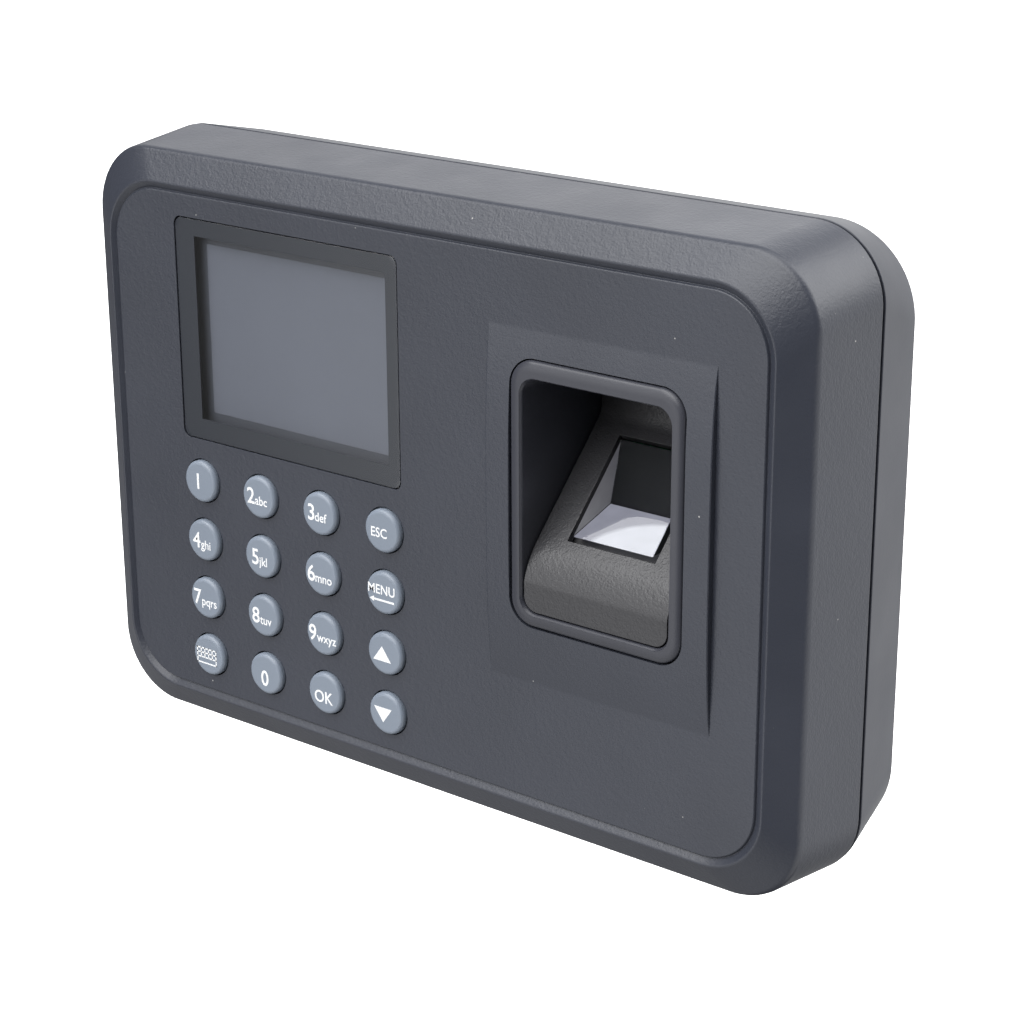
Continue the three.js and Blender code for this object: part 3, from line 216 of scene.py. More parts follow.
def loft(sections: Sequence[Section], x: float = 0.0, z: float = 0.0) -> bpy.types.Mesh:
    """Makes a closed skin through sections, with each soft edge rounded.

    Args:
        sections: From one end cap to the other.
        x: Centre of every section.
        z: Centre of every section.

    Returns:
        The mesh.
    """
    rows = []
    for index, here in enumerate(sections):
        if not here.soft or index in (0, len(sections) - 1):
            rows.append(here)
            continue
        start = here.towards(sections[index - 1], here.soft)
        end = here.towards(sections[index + 1], here.soft)
        for step in range(SOFT_STEPS + 1):
            share = step / SOFT_STEPS
            rows.append(start.mixed(here, share).mixed(here.mixed(end, share), share))
    return skin([row.ring(x, z) for row in rows])


def prism(y0: float, y1: float, shape: Section, x: float, z: float) -> bpy.types.Mesh:
    """Makes a straight block with a section's outline between two depths."""
    return skin([replace(shape, y=y).ring(x, z) for y in (y0, y1)])


def mouth(surface: float, end: float, shape: Section, x: float, z: float,
          flare: float) -> bpy.types.Mesh:
    """Makes a cutter whose edge flares where it meets a front surface.

    Args:
        surface: Depth of the surface that it opens in.
        end: Depth where it ends.
        shape: The outline of the hole.
        x: Centre of the hole.
        z: Centre of the hole.
        flare: How far the edge flares.

    Returns:
        The cutter.
    """
    return loft([
        shape.grown(flare, surface - 5),
        shape.grown(flare, surface, flare * 0.9),
        shape.grown(0, surface + flare, flare * 0.9),
        shape.grown(0, end),
    ], x, z)


def lathe(profile: Sequence[tuple[float, float]], x: float, z: float,
          steps: int = ROUND_STEPS) -> bpy.types.Mesh:
    """Turns a profile of (radius, depth) around a line along Y.

    Args:
        profile: From the axis at one end to the axis at the other.
        x: The line's place.
        z: The line's place.
        steps: Sides of the round.

    Returns:
        The mesh.
    """
    rings = []
    for radius, y in profile:
        radius = max(radius, 1e-4)
        rings.append([(x + radius * math.cos(math.tau * step / steps), y,
                       z + radius * math.sin(math.tau * step / steps)) for step in range(steps)])
    return skin(rings)


def post(radius: float, y0: float, y1: float, x: float, z: float, steps: int = ROUND_STEPS) -> bpy.types.Mesh:
    """Makes a plain drum along Y."""
    return lathe([(0, y0), (radius, y0), (radius, y1), (0, y1)], x, z, steps)


def upright(radius: float, z0: float, z1: float, x: float, y: float, steps: int) -> bpy.types.Mesh:
    """Makes a plain drum along Z.

    Args:
        radius: The drum's radius.
        z0: Its lower end.
        z1: Its upper end.
        x: Its axis's place.
        y: Its axis's place.
        steps: Sides of the round.

    Returns:
        The mesh.
    """
    drum = post(radius, z0, z1, 0, 0, steps)
    drum.transform(Matrix.Rotation(math.pi / 2, 4, "X"))
    drum.transform(Matrix.Translation(Vector((x, y, 0)) * MM))
    return drum


def rounded_edge(radius: float, edge: float, y: float, steps: int = 8) -> list[tuple[float, float]]:
    """The part of a profile that turns from a flat front to a round side.

    Args:
        radius: The side's radius.
        edge: The rounding's radius.
        y: Depth of the front.
        steps: Steps in the rounding.

    Returns:
        Points of (radius, depth), from the front to the side.
    """
    turn = [math.pi / 2 * step / steps for step in range(steps + 1)]
    return [(radius - edge + edge * math.sin(angle), y + edge - edge * math.cos(angle))
            for angle in turn]


def block(x0: float, x1: float, y0: float, y1: float, z0: float, z1: float) -> bpy.types.Mesh:
    """Makes a plain block between two corners.

    Args:
        x0: Left side.
        x1: Right side.
        y0: Front.
        y1: Back.
        z0: Underside.
        z1: Top.

    Returns:
        The mesh.
    """
    corners = [(x, y, z) for x in (x0, x1) for y in (y0, y1) for z in (z0, z1)]
    faces = [(0, 1, 3, 2), (4, 6, 7, 5), (0, 4, 5, 1), (2, 3, 7, 6), (0, 2, 6, 4), (1, 5, 7, 3)]
    return closed_mesh(corners, faces)


def extruded(outline: Sequence[tuple[float, float]], x0: float, x1: float) -> bpy.types.Mesh:
    """Draws an outline in Y and Z out along X."""
    return skin([[(x, y, z) for y, z in outline] for x in (x0, x1)])


def arc(centre: tuple[float, float], radius: float, start: float, end: float,
        steps: int) -> list[tuple[float, float]]:
    """Points on an arc between two angles."""
    angles = [start + (end - start) * step / steps for step in range(steps + 1)]
    return [(centre[0] + radius * math.cos(a), centre[1] + radius * math.sin(a)) for a in angles]


def strip(path: Sequence[tuple[float, float]], thickness: float) -> list[tuple[float, float]]:
    """The outline of a wall that lies to the right of a path.

    Args:
        path: Points of one face.
        thickness: The wall's thickness.

    Returns:
        The closed outline of the wall.
    """
    inner = []
    for index, (u, v) in enumerate(path):
        before, after = path[max(index - 1, 0)], path[min(index + 1, len(path) - 1)]
        run = Vector((after[0] - before[0], after[1] - before[1])).normalized()
        inner.append((u + run.y * thickness, v - run.x * thickness))
    return [*path, *reversed(inner)]


def baked(obj: bpy.types.Object) -> bpy.types.Mesh:
    """Turns an object with its modifiers into a plain mesh and removes the object.

    Args:
        obj: The object, which is removed.

    Returns:
        Its mesh as the modifiers leave it.
    """
    graph = bpy.context.evaluated_depsgraph_get()
    mesh = bpy.data.meshes.new_from_object(obj.evaluated_get(graph))
    bpy.data.objects.remove(obj)
    return mesh


def linked(name: str, mesh: bpy.types.Mesh) -> bpy.types.Object:
    """Makes an object of a mesh and puts it in the scene.

    Args:
        name: The object's name.
        mesh: Its mesh.

    Returns:
        The object.
    """
    obj = bpy.data.objects.new(name, mesh)
    bpy.context.scene.collection.objects.link(obj)
    return obj


def carve(body: bpy.types.Mesh, tools: Iterable[bpy.types.Mesh], cut: Cut) -> bpy.types.Mesh:
    """Joins, removes or intersects closed meshes with a body, one after another.

    Args:
        body: The mesh to work on.
        tools: The meshes that join or cut it.
        cut: What the tools do.

    Returns:
        The resulting mesh.
    """
    for tool in tools:
        work, other = linked("work", body), linked("tool", tool)
        modifier = work.modifiers.new("cut", "BOOLEAN")
        modifier.operation = cut.value
        modifier.solver = "MANIFOLD"
        modifier.object = other
        body = baked(work)
        bpy.data.objects.remove(other)
    return body


def eased(mesh: bpy.types.Mesh, width: float, segments: int = 2) -> bpy.types.Mesh:
    """Takes the sharpness off every hard edge of a mesh.

    Args:
        mesh: The mesh to soften.
        width: Width of each softened edge.
        segments: Steps in each edge.

    Returns:
        The softened mesh.
    """
    work = linked("work", mesh)
    bevel = work.modifiers.new("ease", "BEVEL")
    bevel.width = width * MM
    bevel.segments = segments
    bevel.limit_method = "ANGLE"
    bevel.angle_limit = SHARP_ANGLE
    bevel.use_clamp_overlap = True
    return baked(work)


def shaded(mesh: bpy.types.Mesh) -> bpy.types.Mesh:
    """Smooths a mesh's shading, with true edges kept and flat faces left flat.

    Args:
        mesh: The mesh to smooth.

    Returns:
        The smoothed mesh.
    """
    mesh.shade_smooth()
    mesh.set_sharp_from_angle(angle=SHARP_ANGLE)
    work = linked("work", mesh)
    weighted = work.modifiers.new("weight", "WEIGHTED_NORMAL")
    weighted.keep_sharp = True
    return baked(work)


def piece(name: str, mesh: bpy.types.Mesh, finish: "Finish",
          body: str = CASE_BODY, stands_for: Sequence[str] = ()) -> bpy.types.Object:
    """Adds one finished piece of the object.

    Args:
        name: The piece's name.
        mesh: Its closed mesh, in the row frame.
        finish: What it is made of.
        body: The CAD body it rides on.
        stands_for: CAD nodes that it replaces.

    Returns:
        The piece's object.
    """
    obj = linked(name, mesh)
    obj.data.name = name
    if not obj.data.materials or obj.data.materials[0] is None:
        obj.data.materials.clear()
        obj.data.materials.append(finish.material())
        for polygon in obj.data.polygons:
            polygon.material_index = 0
    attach(obj, body)
    if stands_for:
        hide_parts(*stands_for)
    log.info("%s: %d faces, rides on %s", name, len(mesh.polygons), body)
    return obj


# ---- Node trees ----

class Tree:
    """A node tree while it is being built."""

    def __init__(self, tree: bpy.types.NodeTree) -> None:
        """Starts from an empty tree."""
        self.tree = tree
        tree.nodes.clear()

    def add(self, kind: str, inputs: dict[str | int, object] | None = None,
            **properties: object) -> bpy.types.Node:
        """Adds a node.

        Args:
            kind: The node's type.
            inputs: A value, or another node's output, for each named input.
            properties: Settings of the node itself.

        Returns:
            The node.
        """
        node = self.tree.nodes.new(kind)
        for key, value in properties.items():
            setattr(node, key, value)
        for key, value in (inputs or {}).items():
            if isinstance(value, bpy.types.NodeSocket):
                self.tree.links.new(value, node.inputs[key])
            else:
                node.inputs[key].default_value = value
        return node


class Shader(Tree):
    """A material's tree, with the parts that most finishes share."""

    def __init__(self, name: str) -> None:
        """Starts a new material.

        Args:
            name: The material's name.
        """
        self.material = bpy.data.materials.new(name)
        self.material.use_nodes = True
        super().__init__(self.material.node_tree)
        self.place = self.add("ShaderNodeTexCoord").outputs["Object"]

    def noise(self, size: float, detail: float = 2.0) -> bpy.types.NodeSocket:
        """Noise with features of about a size in millimetres."""
        inputs = {"Vector": self.place, "Scale": 1 / (size * MM), "Detail": detail}
        return self.add("ShaderNodeTexNoise", inputs).outputs["Fac"]

    def ranged(self, value: bpy.types.NodeSocket, low: float, high: float,
               start: float = 0.3, end: float = 0.7) -> bpy.types.NodeSocket:
        """Maps a value onto a range."""
        inputs = {"Value": value, "From Min": start, "From Max": end, "To Min": low, "To Max": high}
        return self.add("ShaderNodeMapRange", inputs).outputs["Result"]

    def mixed(self, share: bpy.types.NodeSocket, first: Colour, second: Colour) -> bpy.types.NodeSocket:
        """Mixes two colours, each fixed or from another node.

        Args:
            share: How much of the second colour.
            first: The colour at 0, or a socket.
            second: The colour at 1, or a socket.

        Returns:
            The mixed colour.
        """
        def full(colour: object) -> object:
            """Gives a plain colour its alpha."""
            return colour if isinstance(colour, bpy.types.NodeSocket) else (*colour, 1.0)
        inputs = {0: share, 6: full(first), 7: full(second)}
        return self.add("ShaderNodeMix", inputs, data_type="RGBA").outputs[2]

    def bump(self, height: bpy.types.NodeSocket, depth: float,
             normal: bpy.types.NodeSocket | None = None) -> bpy.types.NodeSocket:
        """Turns a height into a normal, with its depth in millimetres.

        Args:
            height: The height pattern.
            depth: Its depth in millimetres.
            normal: A bump that this one adds to.

        Returns:
            The bumped normal.
        """
        inputs = {"Height": height, "Distance": depth * MM, "Strength": 1.0}
        if normal is not None:
            inputs["Normal"] = normal
        return self.add("ShaderNodeBump", inputs).outputs["Normal"]

    def finished(self, shader: bpy.types.NodeSocket) -> bpy.types.Material:
        """Joins a shader to the output and gives back the material."""
        self.add("ShaderNodeOutputMaterial", {"Surface": shader})
        return self.material


def shade(colour: Colour, factor: float) -> Colour:
    """A colour made lighter or darker."""
    return tuple(min(value * factor, 1.0) for value in colour)


# ---- Finishes ----

@dataclass(frozen=True)
class Finish:
    """Something a piece is made of: each kind builds one material, once."""

    name: str

    def material(self) -> bpy.types.Material:
        """Gives this finish's material, building it on first use."""
        title = f"{self.name}_finish"
        return bpy.data.materials.get(title) or self.build(Shader(title))

    def build(self, shader: Shader) -> bpy.types.Material:
        """Builds the material."""
        raise NotImplementedError


@dataclass(frozen=True)
class MouldedPlastic(Finish):
    """Injection-moulded plastic with an eroded grain and a little dust."""

    colour: Colour
    roughness: float = 0.4
    grain: float = 0.34
    grain_depth: float = 0.02
    blotch: float = 0.08
    dust: float = 0.0
    dust_spacing: float = 7.0

    def build(self, shader: Shader) -> bpy.types.Material:
        """Mixes broad tone changes, fine grain and sparse dust specks.

        Args:
            shader: The tree to build in.

        Returns:
            The material.
        """
        tone = shader.ranged(shader.noise(38.0, 3.0), 0.0, 1.0)
        colour = shader.mixed(tone, shade(self.colour, 1 - self.blotch), shade(self.colour, 1 + self.blotch))
        if self.dust:
            cells = shader.add("ShaderNodeTexVoronoi", {
                "Vector": shader.place, "Scale": 1 / (self.dust_spacing * MM), "Randomness": 1.0})
            speck = shader.ranged(cells.outputs["Distance"], 1.0, 0.0, 0.012, 0.03)
            lone = shader.ranged(cells.outputs["Color"], 0.0, 1.0, 0.55, 0.6)
            both = shader.add("ShaderNodeMath", {0: speck, 1: lone}, operation="MULTIPLY").outputs[0]
            share = shader.add("ShaderNodeMath", {0: both, 1: self.dust}, operation="MULTIPLY").outputs[0]
            colour = shader.mixed(share, colour, (0.55, 0.54, 0.52))
        grain = shader.add("ShaderNodeMath", {
            0: shader.noise(self.grain, 1.0), 1: shader.noise(self.grain * 2.6, 1.0)},
            operation="ADD").outputs[0]
        satin = shader.ranged(shader.noise(11.0, 2.0), self.roughness - 0.03, self.roughness + 0.03)
        skin_node = shader.add("ShaderNodeBsdfPrincipled", {
            "Base Color": colour, "Roughness": satin, "Normal": shader.bump(grain, self.grain_depth)})
        return shader.finished(skin_node.outputs["BSDF"])


@dataclass(frozen=True)
class ClearCover(Finish):
    """A thin clear window: light passes straight through under a glossy skin."""

    tint: Colour = (0.86, 0.87, 0.88)
    haze: float = 0.06

    def build(self, shader: Shader) -> bpy.types.Material:
        """Mixes a see-through body and a reflection by the viewing angle.

        Args:
            shader: The tree to build in.

        Returns:
            The material.
        """
        smear = shader.ranged(shader.noise(22.0, 4.0), self.haze * 0.6, self.haze * 1.4)
        through = shader.add("ShaderNodeBsdfTransparent", {"Color": (*self.tint, 1.0)})
        gloss = shader.add("ShaderNodeBsdfAnisotropic", {"Color": (1, 1, 1, 1), "Roughness": smear})
        front = shader.add("ShaderNodeMath", {
            0: 1.0, 1: shader.add("ShaderNodeNewGeometry").outputs["Backfacing"]}, operation="SUBTRACT")
        share = shader.add("ShaderNodeMath", {
            0: shader.add("ShaderNodeFresnel", {"IOR": 1.49}).outputs["Fac"], 1: front.outputs[0]},
            operation="MULTIPLY")
        mix = shader.add("ShaderNodeMixShader", {
            0: share.outputs[0], 1: through.outputs["BSDF"], 2: gloss.outputs["BSDF"]})
        return shader.finished(mix.outputs["Shader"])


@dataclass(frozen=True)
class Glass(Finish):
    """Solid polished optical glass that bends light."""

    def build(self, shader: Shader) -> bpy.types.Material:
        """Adds a faint film of finger grease to clear glass.

        Args:
            shader: The tree to build in.

        Returns:
            The material.
        """
        film = shader.ranged(shader.noise(3.0, 4.0), 0.0, 0.03)
        body = shader.add("ShaderNodeBsdfPrincipled", {
            "Base Color": (0.97, 0.98, 1.0, 1.0), "Roughness": film, "IOR": 1.5, "Transmission Weight": 1.0})
        return shader.finished(body.outputs["BSDF"])


@dataclass(frozen=True)
class GlowingFace(Finish):
    """A side of the glass block whose colour glows in place of the light that reaches it through the glass:
    painted light, no lamp.
    """

    # The painted glow in shade, and the painted glow in the pool of light.
    shade_glow: Colour
    light_glow: Colour
    centre: Point = (0.0, 0.0, 0.0)
    reach: float = 10.0
    edge: float = 0.05

    def build(self, shader: Shader) -> bpy.types.Material:
        """Paints a round pool of light on the face around its centre, with painted shade outside it.

        Args:
            shader: The tree to build in.

        Returns:
            The material.
        """
        moved = shader.add("ShaderNodeMapping", {
            "Vector": shader.place, "Location": tuple(-value * MM for value in self.centre)})
        length = shader.add("ShaderNodeVectorMath", {0: moved.outputs["Vector"]}, operation="LENGTH")
        inner, outer = self.reach * MM * (1 - self.edge), self.reach * MM * (1 + self.edge)
        # Painted light: a round patch, brighter inside and fading at its edge, as where light falls on the
        # face.
        light_patch = shader.ranged(length.outputs["Value"], 1.0, 0.0, inner, outer)
        grain = shader.ranged(shader.noise(4.0, 3.0), 0.94, 1.06)
        tone = shader.mixed(light_patch, self.shade_glow, self.light_glow)
        painted_light_colour = shader.add("ShaderNodeVectorMath", {0: tone, 3: grain}, operation="SCALE").outputs[0]
        # The face's colour is given as emission: a painted glow in place of the real light through the glass.
        body = shader.add("ShaderNodeBsdfPrincipled", {
            "Base Color": (0.005, 0.005, 0.005, 1.0), "Roughness": 0.6,
            "Emission Color": painted_light_colour, "Emission Strength": 1.0})
        return shader.finished(body.outputs["BSDF"])


@dataclass(frozen=True)
class SheetMetal(Finish):
    """Plated or galvanised metal with fine rolling marks."""

    colour: Colour
    roughness: float = 0.35
    spangle: float = 5.0

    def build(self, shader: Shader) -> bpy.types.Material:
        """Varies tone and polish with the plating's crystals and the rolling marks.

        Args:
            shader: The tree to build in.

        Returns:
            The material.
        """
        stretch = shader.add("ShaderNodeMapping", {"Vector": shader.place, "Scale": (0.06, 1.0, 1.0)})
        marks = shader.add("ShaderNodeTexNoise", {
            "Vector": stretch.outputs["Vector"], "Scale": 1 / (0.5 * MM), "Detail": 3.0}).outputs["Fac"]
        crystals = shader.add("ShaderNodeTexVoronoi", {
            "Vector": shader.place, "Scale": 1 / (self.spangle * MM)}).outputs["Color"]
        tone = shader.mixed(shader.ranged(crystals, 0.0, 1.0, 0.0, 1.0),
                            shade(self.colour, 0.86), shade(self.colour, 1.08))
        rough = shader.ranged(marks, self.roughness - 0.07, self.roughness + 0.09)
        body = shader.add("ShaderNodeBsdfPrincipled", {
            "Base Color": tone, "Metallic": 1.0, "Roughness": rough,
            "Normal": shader.bump(marks, 0.004)})
        return shader.finished(body.outputs["BSDF"])


@dataclass(frozen=True)
class CircuitBoard(Finish):
    """Solder-masked board with copper tracks under the mask."""

    mask: Colour = (0.008, 0.075, 0.03)
    copper: Colour = (0.03, 0.16, 0.06)
    pitch: float = 1.9

    def build(self, shader: Shader) -> bpy.types.Material:
        """Draws stepped tracks and pads with a cell pattern.

        Args:
            shader: The tree to build in.

        Returns:
            The material.
        """
        cells = shader.add("ShaderNodeTexVoronoi", {
            "Vector": shader.place, "Scale": 1 / (self.pitch * MM), "Randomness": 0.55},
            distance="CHEBYCHEV").outputs["Distance"]
        track = shader.ranged(cells, 0.0, 1.0, 0.36, 0.4)
        colour = shader.mixed(track, self.mask, self.copper)
        body = shader.add("ShaderNodeBsdfPrincipled", {
            "Base Color": colour, "Roughness": 0.32, "Normal": shader.bump(track, 0.03)})
        return shader.finished(body.outputs["BSDF"])


@dataclass(frozen=True)
class CableFilm(Finish):
    """Polyimide film over parallel conductors."""

    film: Colour = (0.42, 0.16, 0.04)
    conductor: Colour = (0.6, 0.3, 0.1)
    pitch: float = 1.0

    def build(self, shader: Shader) -> bpy.types.Material:
        """Rules the conductors along the cable.

        Args:
            shader: The tree to build in.

        Returns:
            The material.
        """
        lines = shader.add("ShaderNodeTexWave", {
            "Vector": shader.place, "Scale": 1 / (self.pitch * MM * math.tau), "Distortion": 0.0},
            bands_direction="X").outputs["Fac"]
        body = shader.add("ShaderNodeBsdfPrincipled", {
            "Base Color": shader.mixed(lines, self.film, self.conductor), "Roughness": 0.35,
            "Normal": shader.bump(lines, 0.02)})
        return shader.finished(body.outputs["BSDF"])


CASE_PLASTIC = MouldedPlastic("case_plastic", (0.036, 0.040, 0.054), roughness=0.36, grain=0.45,
                              grain_depth=0.04, dust=0.8)
COVER_PLASTIC = MouldedPlastic("cover_plastic", (0.039, 0.043, 0.057), roughness=0.38, grain_depth=0.008)
RIM_PLASTIC = MouldedPlastic("rim_plastic", (0.042, 0.044, 0.056), roughness=0.36, grain_depth=0.008)
RAMP_PLASTIC = MouldedPlastic("ramp_plastic", (0.040, 0.040, 0.044), roughness=0.37, grain=0.4,
                              grain_depth=0.07)
KEY_PLASTIC = MouldedPlastic("key_plastic", (0.21, 0.245, 0.30), roughness=0.33, grain=0.2,
                             grain_depth=0.002, blotch=0.02)
KEY_INK = MouldedPlastic("key_ink", (0.86, 0.87, 0.88), roughness=0.5, grain_depth=0.002, blotch=0.02)
LENS_PRINT = MouldedPlastic("lens_print", (0.022, 0.026, 0.036), roughness=0.6, grain_depth=0.0)
LENS_CLEAR = ClearCover("lens_clear")
LCD_BORDER = MouldedPlastic("lcd_border", (0.12, 0.125, 0.145), roughness=0.4, grain_depth=0.001)
LCD_FILM = MouldedPlastic("lcd_film", (0.21, 0.22, 0.26), roughness=0.4, grain=0.3,
                          grain_depth=0.002, blotch=0.04)
SENSOR_GLASS = Glass("sensor_glass")
BOARD = CircuitBoard("board_mask")
CHIP = MouldedPlastic("chip_resin", (0.018, 0.018, 0.02), roughness=0.5, grain=0.15, grain_depth=0.01)
BLACK_PLASTIC = MouldedPlastic("black_plastic", (0.012, 0.012, 0.014), roughness=0.45)
WHITE_PLASTIC = MouldedPlastic("white_plastic", (0.72, 0.72, 0.74), roughness=0.4, grain_depth=0.004)
SILICONE = MouldedPlastic("silicone_mat", (0.16, 0.17, 0.19), roughness=0.6, grain=0.6)
STEEL = SheetMetal("zinc_steel", (0.56, 0.57, 0.58), roughness=0.36)
NICKEL = SheetMetal("nickel_plate", (0.66, 0.65, 0.61), roughness=0.24, spangle=1.2)
FILM = CableFilm("cable_film")


# ---- Geometry node trees ----

class Grower(Tree):
    """A geometry node tree with named inputs, run once to make a plain mesh."""

    def __init__(self, name: str, sizes: dict[str, float]) -> None:
        """Starts a tree with one number input for each size.

        Args:
            name: The tree's name.
            sizes: Each input's name and its value, in millimetres or a count.
        """
        self.group = bpy.data.node_groups.new(name, "GeometryNodeTree")
        super().__init__(self.group)
        self.values: dict[str, float] = sizes
        side = {"in_out": "INPUT", "socket_type": "NodeSocketFloat"}
        self.identifiers = {key: self.group.interface.new_socket(key, **side).identifier for key in sizes}
        self.group.interface.new_socket("Geometry", in_out="OUTPUT", socket_type="NodeSocketGeometry")
        self.entry = self.add("NodeGroupInput")

    def size(self, name: str, factor: float = 1.0) -> bpy.types.NodeSocket:
        """An input, times a factor."""
        inputs = {0: self.entry.outputs[name], 1: factor}
        return self.add("ShaderNodeMath", inputs, operation="MULTIPLY").outputs[0]

    def vector(self, x: object = 0.0, y: object = 0.0, z: object = 0.0) -> bpy.types.NodeSocket:
        """A vector from three values."""
        return self.add("ShaderNodeCombineXYZ", {"X": x, "Y": y, "Z": z}).outputs["Vector"]

    def grown(self, geometry: bpy.types.NodeSocket, finish: Finish) -> bpy.types.Mesh:
        """Realises a geometry, sets its material and applies the tree.

        Args:
            geometry: What the tree makes.
            finish: What it is made of.

        Returns:
            The plain mesh.
        """
        real = self.add("GeometryNodeRealizeInstances", {"Geometry": geometry})
        dressed = self.add("GeometryNodeSetMaterial", {
            "Geometry": real.outputs["Geometry"], "Material": finish.material()})
        self.add("NodeGroupOutput", {"Geometry": dressed.outputs["Geometry"]})
        host = linked(self.group.name, bpy.data.meshes.new(self.group.name))
        modifier = host.modifiers.new("grow", "NODES")
        modifier.node_group = self.group
        for name, identifier in self.identifiers.items():
            modifier[identifier] = float(self.values[name])
        return baked(host)


def row_of_slots(count: int, pitch: float, width: float, depth: float, height: float) -> bpy.types.Mesh:
    """Grows a row of upright slots along X, centred on the origin.

    Args:
        count: How many slots.
        pitch: Distance between two slots.
        width: Each slot's width.
        depth: Each slot's depth along Y.
        height: Each slot's height, with its round ends.

    Returns:
        The slots as one mesh of closed bodies.
    """
    tree = Grower("slot_row", {"Count": count, "Pitch": pitch * MM, "Width": width * MM,
                               "Depth": depth * MM, "Height": height * MM})
    drum = tree.add("GeometryNodeMeshCylinder", {
        "Vertices": 24, "Radius": tree.size("Width", 0.5), "Depth": tree.size("Depth")})
    reach = tree.add("ShaderNodeMath", {0: tree.size("Height", 0.5), 1: tree.size("Width", 0.5)},
                     operation="SUBTRACT").outputs[0]
    back = tree.add("ShaderNodeMath", {0: reach, 1: -1.0}, operation="MULTIPLY").outputs[0]
    ends = [tree.add("GeometryNodeTransform", {
        "Geometry": drum.outputs["Mesh"], "Translation": tree.vector(y=end)}) for end in (reach, back)]
    joined = tree.add("GeometryNodeJoinGeometry")
    for end in ends:
        tree.tree.links.new(end.outputs["Geometry"], joined.inputs["Geometry"])
    slot = tree.add("GeometryNodeConvexHull", {"Geometry": joined.outputs["Geometry"]})
    upright = tree.add("GeometryNodeTransform", {
        "Geometry": slot.outputs["Convex Hull"], "Rotation": (math.pi / 2, 0.0, 0.0)})
    run = tree.add("ShaderNodeMath", {0: tree.entry.outputs["Count"], 1: 1.0}, operation="SUBTRACT")
    start = tree.add("ShaderNodeMath", {0: run.outputs[0], 1: tree.size("Pitch", -0.5)}, operation="MULTIPLY")
    line = tree.add("GeometryNodeMeshLine", {
        "Count": tree.entry.outputs["Count"], "Start Location": tree.vector(x=start.outputs[0]),
        "Offset": tree.vector(x=tree.size("Pitch"))})
    slots = tree.add("GeometryNodeInstanceOnPoints", {
        "Points": line.outputs["Mesh"], "Instance": upright.outputs["Geometry"]})
    return tree.grown(slots.outputs["Instances"], CASE_PLASTIC)


@dataclass(frozen=True)
class Screw:
    """A cross-head screw that stands on the origin with its head up along Z."""

    head: float
    head_height: float
    shank: float
    length: float
    drive: float = 0.6
    drive_width: float = 0.17
    drive_depth: float = 0.6
    sides: int = 40

    def grown(self, name: str, places: Sequence[Point], turn: Point, finish: Finish) -> bpy.types.Mesh:
        """Grows a screw at every place.

        Args:
            name: The tree's name.
            places: Where the top of each head is, in millimetres.
            turn: Rotation that takes the screw's own Z to its real axis.
            finish: What the screws are made of.

        Returns:
            All the screws as one mesh.
        """
        tree = Grower(name, {"Head": self.head * MM, "Head Height": self.head_height * MM,
                             "Shank": self.shank * MM, "Length": self.length * MM})

        def drum(radius: object, depth: object, z: object) -> bpy.types.NodeSocket:
            """Adds one drum at a height on the screw's axis."""
            body = tree.add("GeometryNodeMeshCylinder", {
                "Vertices": self.sides, "Radius": radius, "Depth": depth})
            moved = tree.add("GeometryNodeTransform", {
                "Geometry": body.outputs["Mesh"], "Translation": tree.vector(z=z)})
            return moved.outputs["Geometry"]

        crown = tree.add("GeometryNodeMeshCone", {
            "Vertices": self.sides, "Radius Top": tree.size("Head", 0.36),
            "Radius Bottom": tree.size("Head", 0.5), "Depth": tree.size("Head Height", 0.4)})
        crowned = tree.add("GeometryNodeTransform", {
            "Geometry": crown.outputs["Mesh"], "Translation": tree.vector(z=tree.size("Head Height", -0.4))})
        head = drum(tree.size("Head", 0.5), tree.size("Head Height", 0.6), tree.size("Head Height", -0.7))
        sunk = tree.add("ShaderNodeMath", {0: tree.size("Head Height", -0.9), 1: tree.size("Length", -0.5)},
                        operation="ADD").outputs[0]
        shank = drum(tree.size("Shank", 0.5), tree.size("Length"), sunk)
        solid = tree.add("GeometryNodeMeshBoolean", operation="UNION")
        for part in (crowned.outputs["Geometry"], head, shank):
            tree.tree.links.new(part, solid.inputs["Mesh 2"])
        recess = tree.add("GeometryNodeMeshBoolean", {"Mesh 1": solid.outputs["Mesh"]},
                          operation="DIFFERENCE")
        for across in (0.0, math.pi / 2):
            wing = tree.add("GeometryNodeMeshCube", {"Size": tree.vector(
                tree.size("Head", self.drive), tree.size("Head", self.drive_width),
                tree.size("Head Height", 2 * self.drive_depth))})
            turned = tree.add("GeometryNodeTransform", {
                "Geometry": wing.outputs["Mesh"], "Rotation": (0.0, 0.0, across)})
            tree.tree.links.new(turned.outputs["Geometry"], recess.inputs["Mesh 2"])
        points = tree.add("GeometryNodeJoinGeometry")
        for place in places:
            dot = tree.add("GeometryNodeMeshLine", {
                "Count": 1, "Start Location": tuple(value * MM for value in place)})
            tree.tree.links.new(dot.outputs["Mesh"], points.inputs["Geometry"])
        screws = tree.add("GeometryNodeInstanceOnPoints", {
            "Points": points.outputs["Geometry"], "Instance": recess.outputs["Mesh"], "Rotation": turn})
        return tree.grown(screws.outputs["Instances"], finish)


# ---- The case ----

